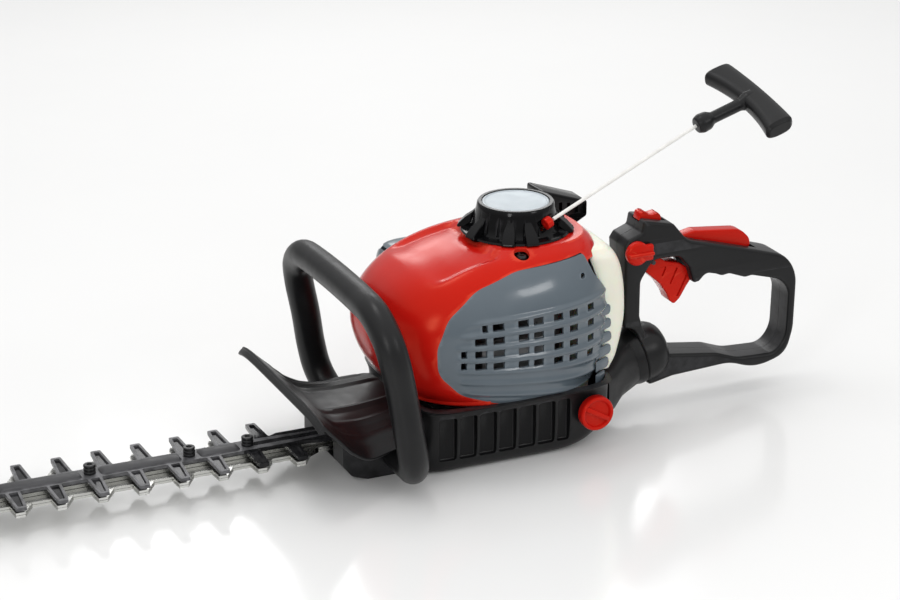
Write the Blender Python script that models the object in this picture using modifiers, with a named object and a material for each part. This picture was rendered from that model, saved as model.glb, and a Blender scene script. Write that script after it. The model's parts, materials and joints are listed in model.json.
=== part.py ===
"""Petrol hedge trimmer: engine unit, double-sided blade, front loop handle and swivelling rear handle.

The crankshaft, flywheel and starter share one upright axis, X = Y = 0. The blade points along -X, the
rear handle along +X, and the trimmer stands on Z = 0. Sizes below are in millimetres; MM turns them
into Blender's metres.
"""

import math

import bmesh
import bpy
from mathutils import Matrix, Vector

MM = 0.001
GAP = 0.3

# Blade: teeth, layers and bolts.
TOOTH_PITCH = 35.0
TEETH_PER_SIDE = 16
FIRST_NEAR_TOOTH_X = -217.7
TOOTH_REACH = 42.0
TOOTH_LEAN = 4.5
SPINE_HALF = 10.0
BLADE_BODY_HALF = 22.0
CUTTER_REACH = 37.0
CUTTER_STROKE = 8.75
COMB_Z = (27.6, 30.6)
GUIDE_BAR_Z = (24.3, 27.3)
UPPER_BLADE_Z = (21.9, 24.0)
LOWER_BLADE_Z = (19.5, 21.6)
BLADE_TIP_X = -786.0
BLADE_BOLT_RADIUS = 3.0
BOLT_TEETH = (1.0, 2.5, 5.0, 7.5, 10.0, 12.5)

# Gear drive inside the base.
GEAR_CENTRE_X = -46.0
GEAR_TEETH = 28
PINION_TEETH = 7
MODULE = -2.0 * GEAR_CENTRE_X / (GEAR_TEETH + PINION_TEETH)
ECCENTRIC_THROW = 8.75
ECCENTRIC_RADIUS = 6.0

# Base, covers and starter.
WALL = 3.0
COVER_BOTTOM_Z = 64.3
COVER_TOP_Z = 190.0
STARTER_HOLE_RADIUS = 43.0
COVER_SCREW = (-20.0, -54.0)
FUEL_CAP_CENTRE = (43.0, -72.3, 38.0)
FUEL_CAP_RADIUS = 17.5

# Handles.
FRONT_TUBE_RADIUS = 13.0
SWIVEL_CENTRE = (121.5, 0.0, 52.0)
SWIVEL_TILT = math.radians(13.0)
SWIVEL_RADIUS = 27.0
REAR_HALF_WIDTH = 17.0
TRIGGER_PIVOT = (131.0, 0.0, 143.0)
LOCKOUT_PIVOT = (166.0, 0.0, 156.0)
SWITCH_CENTRE = (130.5, 0.0, 183.6)
SWITCH_SLOPE = math.atan2(9, 38)
KNOB_CENTRE = (110.5, -REAR_HALF_WIDTH, 157.0)

# Starter cord, drawn out and taut.
CORD_RADIUS = 1.6
CORD_EXIT = Vector((20.0, -33.0, 206.5))
CORD_END = Vector((177.0, 0.0, 261.0))
CORD_DIRECTION = (CORD_END - CORD_EXIT).normalized()
GRIP_LENGTH = 104.0
GRIP_CENTRE = Vector((234.0, 1.0, 279.0))


# ---------------------------------------------------------------- scene and materials

def clear_scene():
    for old in list(bpy.data.objects):
        bpy.data.objects.remove(old)


def new_collection(name):
    collection = bpy.data.collections.new(name)
    bpy.context.scene.collection.children.link(collection)
    return collection


def new_material(name, colour, roughness, metallic=0.0):
    material = bpy.data.materials.new(name)
    material.use_nodes = True
    shader = material.node_tree.nodes["Principled BSDF"]
    shader.inputs["Base Color"].default_value = (*colour, 1.0)
    shader.inputs["Roughness"].default_value = roughness
    shader.inputs["Metallic"].default_value = metallic
    return material


clear_scene()
TRIMMER = new_collection("hedge_trimmer")
CUTTERS = new_collection("cutters")
BLACK = new_material("black_plastic", (0.030, 0.030, 0.032), 0.45)
GLOSS_BLACK = new_material("gloss_black_plastic", (0.015, 0.015, 0.016), 0.15)
RED = new_material("red_plastic", (0.58, 0.018, 0.012), 0.18)
GREY = new_material("grey_plastic", (0.13, 0.16, 0.19), 0.2)
WHITE = new_material("tank_plastic", (0.85, 0.84, 0.74), 0.35)
COMB = new_material("comb_steel", (0.10, 0.10, 0.105), 0.42, 0.6)
STEEL = new_material("blade_steel", (0.62, 0.62, 0.60), 0.28, 1.0)
DARK_STEEL = new_material("dark_steel", (0.08, 0.08, 0.085), 0.4, 0.9)
ALLOY = new_material("cast_alloy", (0.45, 0.45, 0.46), 0.5, 0.9)
RUBBER = new_material("rubber", (0.02, 0.02, 0.02), 0.8)
FOAM = new_material("filter_foam", (0.05, 0.05, 0.04), 0.95)
BADGE = new_material("badge_metal", (0.50, 0.58, 0.64), 0.3, 0.5)
CORD = new_material("cord_nylon", (0.80, 0.79, 0.74), 0.7)


# ---------------------------------------------------------------- modelling helpers (millimetres in)

def metres(point):
    return Vector(point) * MM


def add_object(name, data, material, collection=None):
    body = bpy.data.objects.new(name, data)
    (collection or TRIMMER).objects.link(body)
    if material:
        data.materials.append(material)
    return body


def as_cutter(body):
    for collection in list(body.users_collection):
        collection.objects.unlink(body)
    CUTTERS.objects.link(body)
    body.hide_render = True
    body.display_type = "WIRE"
    return body


def from_bmesh(name, bm, material, sharp=35.0):
    bmesh.ops.recalc_face_normals(bm, faces=bm.faces)
    mesh = bpy.data.meshes.new(name)
    bm.to_mesh(mesh)
    bm.free()
    mesh.shade_smooth()
    mesh.set_sharp_from_angle(angle=math.radians(sharp))
    return add_object(name, mesh, material)


def bevel(body, width, segments=2, angle=40.0):
    modifier = body.modifiers.new("rounding", "BEVEL")
    modifier.width = width * MM
    modifier.segments = segments
    modifier.limit_method = "ANGLE"
    modifier.angle_limit = math.radians(angle)
    return body


def boolean(body, other, operation):
    modifier = body.modifiers.new(operation.lower(), "BOOLEAN")
    modifier.operation = operation
    modifier.object = as_cutter(other)
    return body


def cut(body, *others):
    for other in others:
        boolean(body, other, "DIFFERENCE")
    return body


def join(body, *others):
    for other in others:
        boolean(body, other, "UNION")
    return body


def pivot(body, point):
    """Puts the origin of a body made at the world's origin on the axis it moves about."""
    body.data.transform(Matrix.Translation(-metres(point)))
    body.location = metres(point)
    return body


def box(name, low, high, material=None, rounding=0.0, segments=2):
    bm = bmesh.new()
    bmesh.ops.create_cube(bm, size=1.0)
    size = [high[k] - low[k] for k in range(3)]
    middle = [(high[k] + low[k]) / 2 for k in range(3)]
    for vertex in bm.verts:
        vertex.co = metres([vertex.co[k] * size[k] + middle[k] for k in range(3)])
    body = from_bmesh(name, bm, material)
    if rounding:
        bevel(body, rounding, segments)
    return body


def rod(name, start, end, radius, material=None, sides=24, end_radius=None):
    """A cylinder, or a cone with end_radius, between two points."""
    start, end = Vector(start), Vector(end)
    along = end - start
    bm = bmesh.new()
    bmesh.ops.create_cone(bm, cap_ends=True, segments=sides, radius1=radius * MM,
                          radius2=(radius if end_radius is None else end_radius) * MM,
                          depth=along.length * MM)
    turn = along.to_track_quat("Z", "Y").to_matrix().to_4x4()
    bmesh.ops.transform(bm, verts=bm.verts, matrix=Matrix.Translation((start + end) / 2 * MM) @ turn)
    return from_bmesh(name, bm, material)


def turned(name, profile, centre, material=None, axis="Z", steps=32):
    """Turns (radius, height) points, from the top down, about an axis through centre."""
    bm = bmesh.new()
    points = [bm.verts.new((r * MM, 0.0, h * MM)) for r, h in profile]
    for first, second in zip(points, points[1:]):
        bm.edges.new((first, second))
    mesh = bpy.data.meshes.new(name)
    bm.to_mesh(mesh)
    bm.free()
    body = add_object(name, mesh, material)
    modifier = body.modifiers.new("turning", "SCREW")
    modifier.steps = steps
    modifier.render_steps = steps
    modifier.use_merge_vertices = True
    modifier.merge_threshold = 0.00001
    modifier.use_smooth_shade = True
    directions = {"Z": (0, 0, 1), "-Y": (0, -1, 0), "X": (1, 0, 0), "-X": (-1, 0, 0), "Y": (0, 1, 0)}
    direction = Vector(directions[axis] if isinstance(axis, str) else axis)
    turn = direction.to_track_quat("Z", "Y").to_matrix().to_4x4()
    body.matrix_world = Matrix.Translation(metres(centre)) @ turn
    return body


def rounded(corners, steps=4):
    """Rounds the corners of an outline given as (x, y, radius)."""
    outline = []
    count = len(corners)
    for index, (x, y, radius) in enumerate(corners):
        here = Vector((x, y))
        before = (Vector(corners[index - 1][:2]) - here)
        after = (Vector(corners[(index + 1) % count][:2]) - here)
        if radius <= 0:
            outline.append((x, y))
            continue
        half = before.angle(after) / 2
        reach = radius / math.tan(half)
        reach = min(reach, 0.49 * before.length, 0.49 * after.length)
        start = here + before.normalized() * reach
        end = here + after.normalized() * reach
        for step in range(steps + 1):
            t = step / steps
            spot = (1 - t) ** 2 * start + 2 * t * (1 - t) * here + t ** 2 * end
            outline.append((spot.x, spot.y))
    return outline


def slot_outline(x, y, radius, half_length):
    """A slot along the first axis, round at both ends."""
    ends = []
    for side, first in ((1, -90), (-1, 90)):
        for step in range(4):
            angle = math.radians(first + 60 * step)
            ends.append((x + side * half_length + radius * math.cos(angle), y + radius * math.sin(angle)))
    return ends


def plate(name, outline, low, high, material=None, plane="XY", holes=()):
    """A flat outline, drawn in a plane and thickened from low to high along the third axis."""
    curve = bpy.data.curves.new(name, "CURVE")
    curve.dimensions = "2D"
    curve.fill_mode = "BOTH"
    curve.extrude = (high - low) / 2 * MM
    for loop in (outline, *holes):
        spline = curve.splines.new("POLY")
        spline.points.add(len(loop) - 1)
        for point, (x, y) in zip(spline.points, loop):
            point.co = (x * MM, y * MM, 0.0, 1.0)
        spline.use_cyclic_u = True
    drawn = add_object(name + "_outline", curve, None)
    middle = (low + high) / 2 * MM
    if plane == "XZ":
        drawn.matrix_world = Matrix.Translation((0, middle, 0)) @ Matrix.Rotation(math.pi / 2, 4, "X")
    elif plane == "YZ":
        drawn.matrix_world = Matrix.Translation((middle, 0, 0)) @ Matrix(
            ((0, 0, 1, 0), (1, 0, 0, 0), (0, 1, 0, 0), (0, 0, 0, 1)))
    else:
        drawn.matrix_world = Matrix.Translation((0, 0, middle))
    return meshed(drawn, name, material)


def meshed(drawn, name, material):
    """Makes a curve object a welded mesh object in its place."""
    bpy.context.view_layer.update()
    graph = bpy.context.evaluated_depsgraph_get()
    mesh = bpy.data.meshes.new_from_object(drawn.evaluated_get(graph))
    bm = bmesh.new()
    bm.from_mesh(mesh)
    bm.transform(drawn.matrix_world)
    bmesh.ops.remove_doubles(bm, verts=bm.verts, dist=0.000002)
    bpy.data.objects.remove(drawn)
    return from_bmesh(name, bm, material)


def smooth_path(points, spacing):
    """Points about spacing apart on a smooth curve through the given ones."""
    points = [Vector(point) for point in points]
    padded = [2 * points[0] - points[1], *points, 2 * points[-1] - points[-2]]
    path = []
    for a, b, c, d in zip(padded, padded[1:], padded[2:], padded[3:]):
        pieces = max(1, round((c - b).length / spacing))
        for piece in range(pieces):
            t = piece / pieces
            path.append(0.5 * (2 * b + (c - a) * t + (2 * a - 5 * b + 4 * c - d) * t ** 2
                               + (3 * b - a - 3 * c + d) * t ** 3))
    path.append(points[-1])
    return path


def tube(name, path, radius, material, resolution=2):
    curve = bpy.data.curves.new(name, "CURVE")
    curve.dimensions = "3D"
    curve.bevel_depth = radius * MM
    curve.bevel_resolution = resolution
    curve.use_fill_caps = True
    spline = curve.splines.new("POLY")
    spline.points.add(len(path) - 1)
    for point, spot in zip(spline.points, path):
        point.co = (*metres(spot), 1.0)
    return add_object(name, curve, material)


def loft(name, rings, material=None, closed=True, capped=True, sharp=35.0):
    """Joins rings of equally many points. The caps are flat faces."""
    bm = bmesh.new()
    rows = [[bm.verts.new(metres(point)) for point in ring] for ring in rings]
    count = len(rows[0])
    for lower, upper in zip(rows, rows[1:]):
        for k in range(count if closed else count - 1):
            after = (k + 1) % count
            bm.faces.new((lower[k], lower[after], upper[after], upper[k]))
    if capped:
        bm.faces.new(rows[0])
        bm.faces.new(rows[-1])
    return from_bmesh(name, bm, material, sharp)


def superellipse(x0, x1, half_width, z, power=2.4, count=28):
    """A ring in a level plane between x0 and x1, rounder with a smaller power."""
    ring = []
    for k in range(count):
        angle = 2 * math.pi * (k + 0.5) / count
        c, s = math.cos(angle), math.sin(angle)
        x = (x0 + x1) / 2 + (x1 - x0) / 2 * math.copysign(abs(c) ** (2 / power), c)
        y = half_width * math.copysign(abs(s) ** (2 / power), s)
        ring.append((x, y, z))
    return ring


def circle_outline(x, y, radius, count=16):
    return [(x + radius * math.cos(2 * math.pi * k / count), y + radius * math.sin(2 * math.pi * k / count))
            for k in range(count)]


# ---------------------------------------------------------------- blade

def near_tooth_x(index):
    return FIRST_NEAR_TOOTH_X - TOOTH_PITCH * index


def tooth_outline(x, side, root_y, reach, root_half, tip_half):
    """One tooth's corners, in the direction of rising x; side is -1 near and 1 far."""
    root_x = x - side * TOOTH_LEAN
    return [(root_x - root_half, side * root_y), (x - tip_half, side * reach),
            (x + tip_half, side * reach), (root_x + root_half, side * root_y)]


def toothed_outline(rear_x, rear_half, root_y, reach, root_half, tip_half, tip_x):
    """A double-sided blade: near teeth toward the tip, round the tip, and far teeth back again."""
    outline = [(rear_x, rear_half), (rear_x, -rear_half)]
    outline.append((FIRST_NEAR_TOOTH_X + 24.0, -rear_half))
    for index in range(TEETH_PER_SIDE):
        outline += reversed(tooth_outline(near_tooth_x(index), -1, root_y, reach, root_half, tip_half))
    outline += [(tip_x + 8, -root_y), (tip_x, -root_y * 0.4), (tip_x, root_y * 0.4), (tip_x + 8, root_y)]
    for index in reversed(range(TEETH_PER_SIDE)):
        x = near_tooth_x(index) - TOOTH_PITCH / 2
        outline += tooth_outline(x, 1, root_y, reach, root_half, tip_half)
    outline.append((FIRST_NEAR_TOOTH_X - 4.0, rear_half))
    return outline


def bolt_positions():
    """The blade bolts follow the teeth; the two rear ones hold the blade in its carrier."""
    along_blade = [FIRST_NEAR_TOOTH_X - TOOTH_PITCH * tooth for tooth in BOLT_TEETH]
    return along_blade, [-166.0, -137.0]


def make_blade():
    along_blade, in_carrier = bolt_positions()
    bolts = along_blade + in_carrier
    clear = BLADE_BOLT_RADIUS + GAP
    round_holes = [circle_outline(x, 0.0, clear + 0.2, 8) for x in bolts]
    slots = [slot_outline(x, 0.0, clear, CUTTER_STROKE + 0.5) for x in bolts]
    comb = toothed_outline(-128.0, 14.0, SPINE_HALF, TOOTH_REACH, 8.5, 4.5, BLADE_TIP_X)
    plate("guard_comb", comb, *COMB_Z, COMB, holes=round_holes)
    guide = rounded([(-126, 11, 2), (-126, -11, 2), (BLADE_TIP_X + 6, -11, 8), (BLADE_TIP_X + 6, 11, 8)])
    plate("guide_bar", guide, *GUIDE_BAR_Z, STEEL, holes=round_holes)
    cutter = toothed_outline(-100.0, 16.0, BLADE_BODY_HALF, CUTTER_REACH, 9.5, 4.0, BLADE_TIP_X + 14)
    pin_hole = circle_outline(-108.0, 0.0, clear + 0.2, 8)
    plate("upper_blade", cutter, *UPPER_BLADE_Z, STEEL, holes=[*slots, pin_hole])
    plate("lower_blade", cutter, *LOWER_BLADE_Z, STEEL, holes=[*slots, pin_hole])
    for number, x in enumerate(along_blade, 1):
        head = [(0, 39), (5.2, 39), (5.2, 30.9), (3, 30.9)]
        nut = [(3, 19.2), (5.4, 19.2), (5.4, 13.5), (0, 13.5)]
        turned(f"blade_bolt_{number}", head + nut, (x, 0, 0), DARK_STEEL, steps=8)
    for name, x in zip(("front", "rear"), in_carrier):
        profile = [(0, 51), (5.5, 51), (5.5, 46.4), (3, 46.4), (3, 5), (0, 5)]
        turned(f"carrier_bolt_{name}", profile, (x, 0, 0), DARK_STEEL, steps=8)


# ---------------------------------------------------------------- gear drive

def gear_outline(x, teeth, phase):
    """Plain straight-sided teeth."""
    pitch_radius = MODULE * teeth / 2
    outline = []
    for k in range(teeth):
        middle = phase + 2 * math.pi * k / teeth
        for radius, half in ((pitch_radius - 2.2, 1.5), (pitch_radius + 1.3, 0.75)):
            outline.append((radius, middle - half / radius))
        for radius, half in ((pitch_radius + 1.3, 0.75), (pitch_radius - 2.2, 1.5)):
            outline.append((radius, middle + half / radius))
    return [(x + r * math.cos(a), r * math.sin(a)) for r, a in outline]


def yoke(name, low, high):
    """Drives one blade: a ring round the gear's eccentric, with a tail riveted to the blade."""
    ring_inner = ECCENTRIC_RADIUS + ECCENTRIC_THROW + CUTTER_STROKE + 0.6
    ring_outer = ring_inner + 4.0
    outline = []
    tail_half = 9.0
    start = math.asin(tail_half / ring_outer)
    for step in range(21):
        angle = math.pi + start + (2 * math.pi - 2 * start) * step / 20
        outline.append((GEAR_CENTRE_X + ring_outer * math.cos(angle), ring_outer * math.sin(angle)))
    outline += [(-114.0, tail_half), (-116.0, 6.0), (-116.0, -6.0), (-114.0, -tail_half)]
    holes = [circle_outline(GEAR_CENTRE_X, 0.0, ring_inner, 24),
             circle_outline(-108.0, 0.0, BLADE_BOLT_RADIUS + GAP + 0.2, 8)]
    plate(name, outline, low, high, DARK_STEEL, holes=holes)


def make_gear_drive():
    outline = rounded([(-92, -46, 10), (16, -46, 10), (16, 46, 10), (-92, 46, 10)], 3)
    case = plate("gearcase", outline, 4.3, 44.0, ALLOY)
    cavity = plate("gearcase_cavity", rounded([(-88, -42, 8), (12, -42, 8), (12, 42, 8), (-88, 42, 8)], 3),
                   8.0, 60.0)
    window = box("gearcase_window", (-100, -22, 15), (-80, 22, 33))
    cut(case, cavity, window)
    lid_hole = [circle_outline(0, 0, 8.0, 20), circle_outline(GEAR_CENTRE_X, 0, 5.4, 16)]
    plate("gearcase_lid", outline, 44.3, 47.5, ALLOY, holes=lid_hole)
    gear = plate("drive_gear", gear_outline(GEAR_CENTRE_X, GEAR_TEETH, 0.0), 31.0, 38.0, STEEL)
    shaft = rod("gear_shaft", (GEAR_CENTRE_X, 0, 8.4), (GEAR_CENTRE_X, 0, 46.5), 5.0, sides=16)
    throw = ECCENTRIC_THROW
    upper = rod("upper_eccentric", (GEAR_CENTRE_X + throw, 0, 24.2), (GEAR_CENTRE_X + throw, 0, 31.5),
                ECCENTRIC_RADIUS, sides=20)
    lower = rod("lower_eccentric", (GEAR_CENTRE_X - throw, 0, 16.8), (GEAR_CENTRE_X - throw, 0, 23.7),
                ECCENTRIC_RADIUS, sides=20)
    pivot(join(gear, shaft, upper, lower), (GEAR_CENTRE_X, 0, 0))
    yoke("upper_yoke", 24.3, 26.5)
    yoke("lower_yoke", 17.0, 19.2)
    for name, low, high in (("upper", 22.2, 27.6), ("lower", 15.6, 21.3)):
        rod(f"{name}_yoke_pin", (-108, 0, low), (-108, 0, high), BLADE_BOLT_RADIUS, DARK_STEEL, 12)


# ---------------------------------------------------------------- blade carrier, guard and front handle

def make_carrier():
    """The alloy nose that holds the blade and the front handle's ends."""
    side = rounded([(-183, 46, 2), (-183, 16, 3), (-175, 5, 8), (-160, 0, 5), (-121.5, 0, 2),
                    (-121.5, 46, 2)], 3)
    carrier = plate("blade_carrier", side, -45, 45, BLACK, plane="XZ")
    slot = box("blade_slot", (-200, -23.5, 12.5), (-110, 23.5, COMB_Z[1] + GAP))
    cut(carrier, slot)
    for x in bolt_positions()[1]:
        cut(carrier, rod("carrier_bolt_hole", (x, 0, 4.4), (x, 0, 60), BLADE_BOLT_RADIUS + GAP, sides=12))
    return carrier


def guard_row(middle, end, power, count=17):
    """Half-way points from one end of a guard section over its middle to the other end."""
    row = []
    for k in range(count):
        t = 2 * k / (count - 1) - 1
        sag = abs(t) ** power
        x = middle[0] + (end[0] - middle[0]) * sag
        row.append((x, end[1] * t, middle[1] + (end[2] - middle[1]) * sag))
    return row


def make_guard():
    """A leaning shield in front that runs back as a hood over the carrier."""
    rows = [guard_row((-223, 84), (-222, 96, 79), 6.0),
            guard_row((-207, 69), (-207, 95, 62), 5.0),
            guard_row((-194, 59), (-192, 89, 46), 4.0),
            guard_row((-172, 57), (-172, 81, 34), 3.0),
            guard_row((-144, 58), (-144, 75, 37), 3.0),
            guard_row((-122, 60), (-122, 69, 37), 3.5)]
    guard = loft("hand_guard", rows, BLACK, closed=False, capped=False)
    thick = guard.modifiers.new("thickness", "SOLIDIFY")
    thick.thickness = WALL * MM
    thick.offset = -1.0
    return guard


def front_handle_path():
    near = [(-134, -45.6, 20), (-134.5, -70, 20), (-139, -94, 26), (-145, -108, 43), (-150, -111, 67),
            (-155, -110, 99), (-161, -109, 130), (-165, -101, 151), (-167, -80, 165), (-167, -50, 168)]
    far = [(x, -y, z) for x, y, z in reversed(near)]
    return smooth_path([*near, (-167, 0, 169), *far], 20.0)


def make_front_handle():
    tube("front_handle", front_handle_path(), FRONT_TUBE_RADIUS, BLACK, 2)


# ---------------------------------------------------------------- base

BASE_LEVELS = ((0, -114, 20, 56), (3, -117, 40, 62), (10, -119, 53, 66), (20, -119.5, 62, 68),
               (32, -119.5, 67, 69), (56.5, -119.5, 68, 70), (64, -119.5, 66, 82))
CAVITY_LEVELS = ((3.6, -108, 18, 50), (12, -114, 44, 56), (22, -115, 56, 57), (50, -115, 63, 58),
                 (80, -115.5, 63.5, 92))


def make_base():
    """A tub with air pockets between upright ribs on both sides."""
    levels = [superellipse(x0, x1, half, z, 7.0) for z, x0, x1, half in BASE_LEVELS]
    base = loft("base_chassis", levels, BLACK)
    cavity = loft("base_cavity",
                  [superellipse(x0, x1, half, z, 7.0) for z, x0, x1, half in CAVITY_LEVELS])
    yoke_window = box("yoke_window", (-130, -23, 12), (-100, 23, 32))
    cut(base, cavity, yoke_window)
    rib_pitch = 18.7
    for side in (-1, 1):
        for pocket in range(7):
            left = -102.5 + rib_pitch * pocket
            right = min(left + rib_pitch - 2.6, 21.5)
            near, far = sorted((side * 62.5, side * 90))
            cut(base, box("rib_pocket", (left, near, 13), (right, far, 53)))
    x, y, z = FUEL_CAP_CENTRE
    cut(base, rod("filler_hole", (x, -90, z), (x, -50, z), 11.6, sides=20))
    return base


def swivel_axis():
    return Vector((math.cos(SWIVEL_TILT), 0, math.sin(SWIVEL_TILT)))


def swivel_ring(distance, radius):
    """A circle square to the swivel's axis, at a distance along it from the joint."""
    centre = Vector(SWIVEL_CENTRE) + swivel_axis() * distance
    up = Vector((-math.sin(SWIVEL_TILT), 0, math.cos(SWIVEL_TILT)))
    circle = superellipse(-radius, radius, radius, 0, 2.0)
    return [tuple(centre + Vector((0, 1, 0)) * across + up * rise) for across, rise, _ in circle]


def make_mount():
    """The neck from the base to the rear handle's swivel joint."""
    def upright(x, half, low, high, power):
        ring = superellipse(-half, half, (high - low) / 2, 0, power)
        return [(x, across, (low + high) / 2 + up) for across, up, _ in ring]

    rings = [upright(68.5, 52, 14, 62, 5.0), upright(80, 45, 16, 63.5, 4.0), upright(94, 34, 20, 71, 3.0),
             swivel_ring(-10, 26.0), swivel_ring(-5, SWIVEL_RADIUS), swivel_ring(-GAP / 2, SWIVEL_RADIUS)]
    mount = loft("handle_mount", rings, BLACK)
    centre = Vector(SWIVEL_CENTRE)
    axis = swivel_axis()
    cut(mount, rod("mount_bore", centre - axis * 30, centre + axis * 5, 6.3, sides=20))
    return mount


# ---------------------------------------------------------------- engine covers

COVER_LEVELS = ((COVER_BOTTOM_Z, -116, 66, 80), (80, -132, 72, 85), (98, -142, 76, 88), (120, -147, 78, 88),
                (140, -143, 78, 86), (158, -131, 74, 80), (172, -113, 69, 72), (183, -88, 64, 62),
                (COVER_TOP_Z, -56, 57, 51))
SIDE_COVER_OUTLINE = ((66, 66, 4), (0, 60, 60), (-52, 64, 40), (-86, 76, 30), (-107, 98, 25),
                      (-108, 122, 25), (-98, 146, 30), (-71, 167, 40), (-32, 178, 60), (36, 181, 4),
                      (62, 142, 4), (68, 120, 4))


def cover_surface(name, grow=0.0, capped=False):
    rings = [superellipse(x0 - grow, x1 + grow, half + grow, z, 2.5) for z, x0, x1, half in COVER_LEVELS]
    if capped:
        rings.append([(x, y, COVER_TOP_Z + grow + 0.2) for x, y, z in rings[-1]])
    else:
        hole = superellipse(-STARTER_HOLE_RADIUS, STARTER_HOLE_RADIUS, STARTER_HOLE_RADIUS,
                            COVER_TOP_Z + 0.5, 2.0)
        rings.append(hole)
    return loft(name, rings, None, capped=capped)


def cover_shell(name, material):
    shell = cover_surface(name)
    shell.data.materials.append(material)
    thick = shell.modifiers.new("thickness", "SOLIDIFY")
    thick.thickness = WALL * MM
    thick.offset = -1.0
    return shell


def make_engine_cover():
    cover = cover_shell("engine_cover", RED)
    near = plate("near_cover_opening", grown(rounded(SIDE_COVER_OUTLINE), GAP), -140, -20, plane="XZ")
    far = plate("far_cover_opening", rounded([(-92, 92, 8), (-16, 92, 8), (-16, 156, 8), (-92, 156, 8)]),
                30, 140, plane="XZ")
    rear = box("rear_opening", (42, -140, -20), (220, 19, 169))
    x, y = COVER_SCREW
    recess = rod("screw_recess", (x, y, 160), (x, y, 200), 6.0, sides=16)
    turned("cover_screw", [(0, 189), (4.6, 189), (5.2, 187.5), (5.2, 185.5), (2.5, 185.5), (2.5, 172),
                           (0, 172)], (x, y, 0), DARK_STEEL, steps=16)
    return cut(cover, near, far, rear, recess)


def grown(outline, distance):
    """Moves an outline's points outward, along the mean normal of their two edges."""
    area = sum(a[0] * b[1] - b[0] * a[1] for a, b in zip(outline, outline[1:] + outline[:1]))
    outward = 1 if area > 0 else -1
    moved = []
    for index, (x, y) in enumerate(outline):
        before = Vector(outline[index - 1])
        after = Vector(outline[(index + 1) % len(outline)])
        along = (after - before).normalized()
        moved.append((x + along.y * distance * outward, y - along.x * distance * outward))
    return moved


def make_side_cover():
    cover = cover_shell("side_cover", GREY)
    patch = plate("side_cover_patch", rounded(SIDE_COVER_OUTLINE), -140, -20, plane="XZ")
    boolean(cover, patch, "INTERSECT")
    columns = ((-90, -56), (-46, -22), (-12, 10), (20, 32))
    for row in range(4):
        for start, end in columns:
            middle = (start + end) / 2
            lift = 104 + 11.5 * row + 0.17 * (middle + 60) * (0.5 + row / 4)
            cut(cover, box("vent", (start, -120, lift), (end, -60, lift + 6)))
    return cover


def make_filter_cover():
    cover = box("filter_cover", (-96, 60, 84), (-8, 98, 164), GREY, 9, 3)
    hollow = box("filter_cover_hollow", (-91.5, 40, 88.5), (-12.5, 94.5, 159.5))
    inside = cover_surface("filter_cover_seat", 0.4, True)
    cut(cover, hollow, inside)
    box("air_filter", (-80, 89.4, 100), (-28, 94.1, 148), FOAM)


# ---------------------------------------------------------------- tank and cap

def make_tank():
    """A foot down in the base, a back that fills the corner behind the covers, and the filler's neck."""
    foot_levels = ((20, 36, 48, 42), (45, 36, 54, 44), (62, 36, 56, 43))
    tank = loft("fuel_tank", [superellipse(x0, x1, half, z, 6.0) for z, x0, x1, half in foot_levels], WHITE)
    levels = ((66, 52, 76, 50), (80, 52, 81, 51), (110, 52, 87, 52), (136, 52, 87, 52), (152, 52, 85, 51),
              (163, 52, 82, 50), (172, 52, 77, 48), (178, 53, 71, 44))
    back = loft("tank_back", [superellipse(x0, x1, half, z, 4.5) for z, x0, x1, half in levels])
    cut(back, cover_surface("tank_seat", 0.6, True), box("hood_room", (40, 35.4, 171.4), (95, 70, 200)))
    x, y, z = FUEL_CAP_CENTRE
    riser = box("tank_riser", (40, -17, 55), (60, 17, 75))
    throat = box("tank_throat", (50, -16, 67), (74, 16, 120))
    join(tank, riser, throat, back,
         rod("tank_neck", (x, -67, z), (x, -38, z), 8.0, sides=16))
    return tank


def make_fuel_cap():
    x, y, z = FUEL_CAP_CENTRE
    r = FUEL_CAP_RADIUS
    profile = [(0, 5), (r - 4, 5), (r - 3, 8), (r - 1, 8), (r, 6.5), (r, 0), (0, 0)]
    cap = turned("fuel_cap", profile, FUEL_CAP_CENTRE, RED, "-Y", 28)
    ridge = box("cap_ridge", (x - r + 3.5, y - 9.0, z - 2), (x + r - 3.5, y - 2, z + 2))
    return join(cap, ridge)


# ---------------------------------------------------------------- engine

def make_crank_train():
    """The crankshaft, with the flywheel and fan above and the clutch and pinion below."""
    crank = rod("crankshaft", (0, 0, 54.5), (0, 0, 188), 6.0, STEEL, 20)
    join(crank, rod("crank_web", (0, 0, 84), (0, 0, 106), 19.0, sides=24))
    turned("flywheel", [(6.4, 156), (46, 156), (46, 142), (40, 142), (40, 150), (6.4, 150), (6.4, 156)],
           (0, 0, 0), ALLOY, steps=24)
    turned("clutch_shoes", [(6.4, 65), (28.6, 65), (28.6, 55), (6.4, 55), (6.4, 65)], (0, 0, 0), DARK_STEEL,
           steps=20)
    turned("clutch_drum", [(29.2, 66.5), (32.5, 66.5), (32.5, 50), (5.4, 50), (5.4, 53), (29.2, 53),
                           (29.2, 66.5)], (0, 0, 0), DARK_STEEL, steps=20)
    pinion = plate("pinion", gear_outline(0.0, PINION_TEETH, 0.0), 31.0, 38.0, STEEL)
    join(pinion, rod("pinion_shaft", (0, 0, 29), (0, 0, 53.5), 5.0, sides=16))


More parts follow.
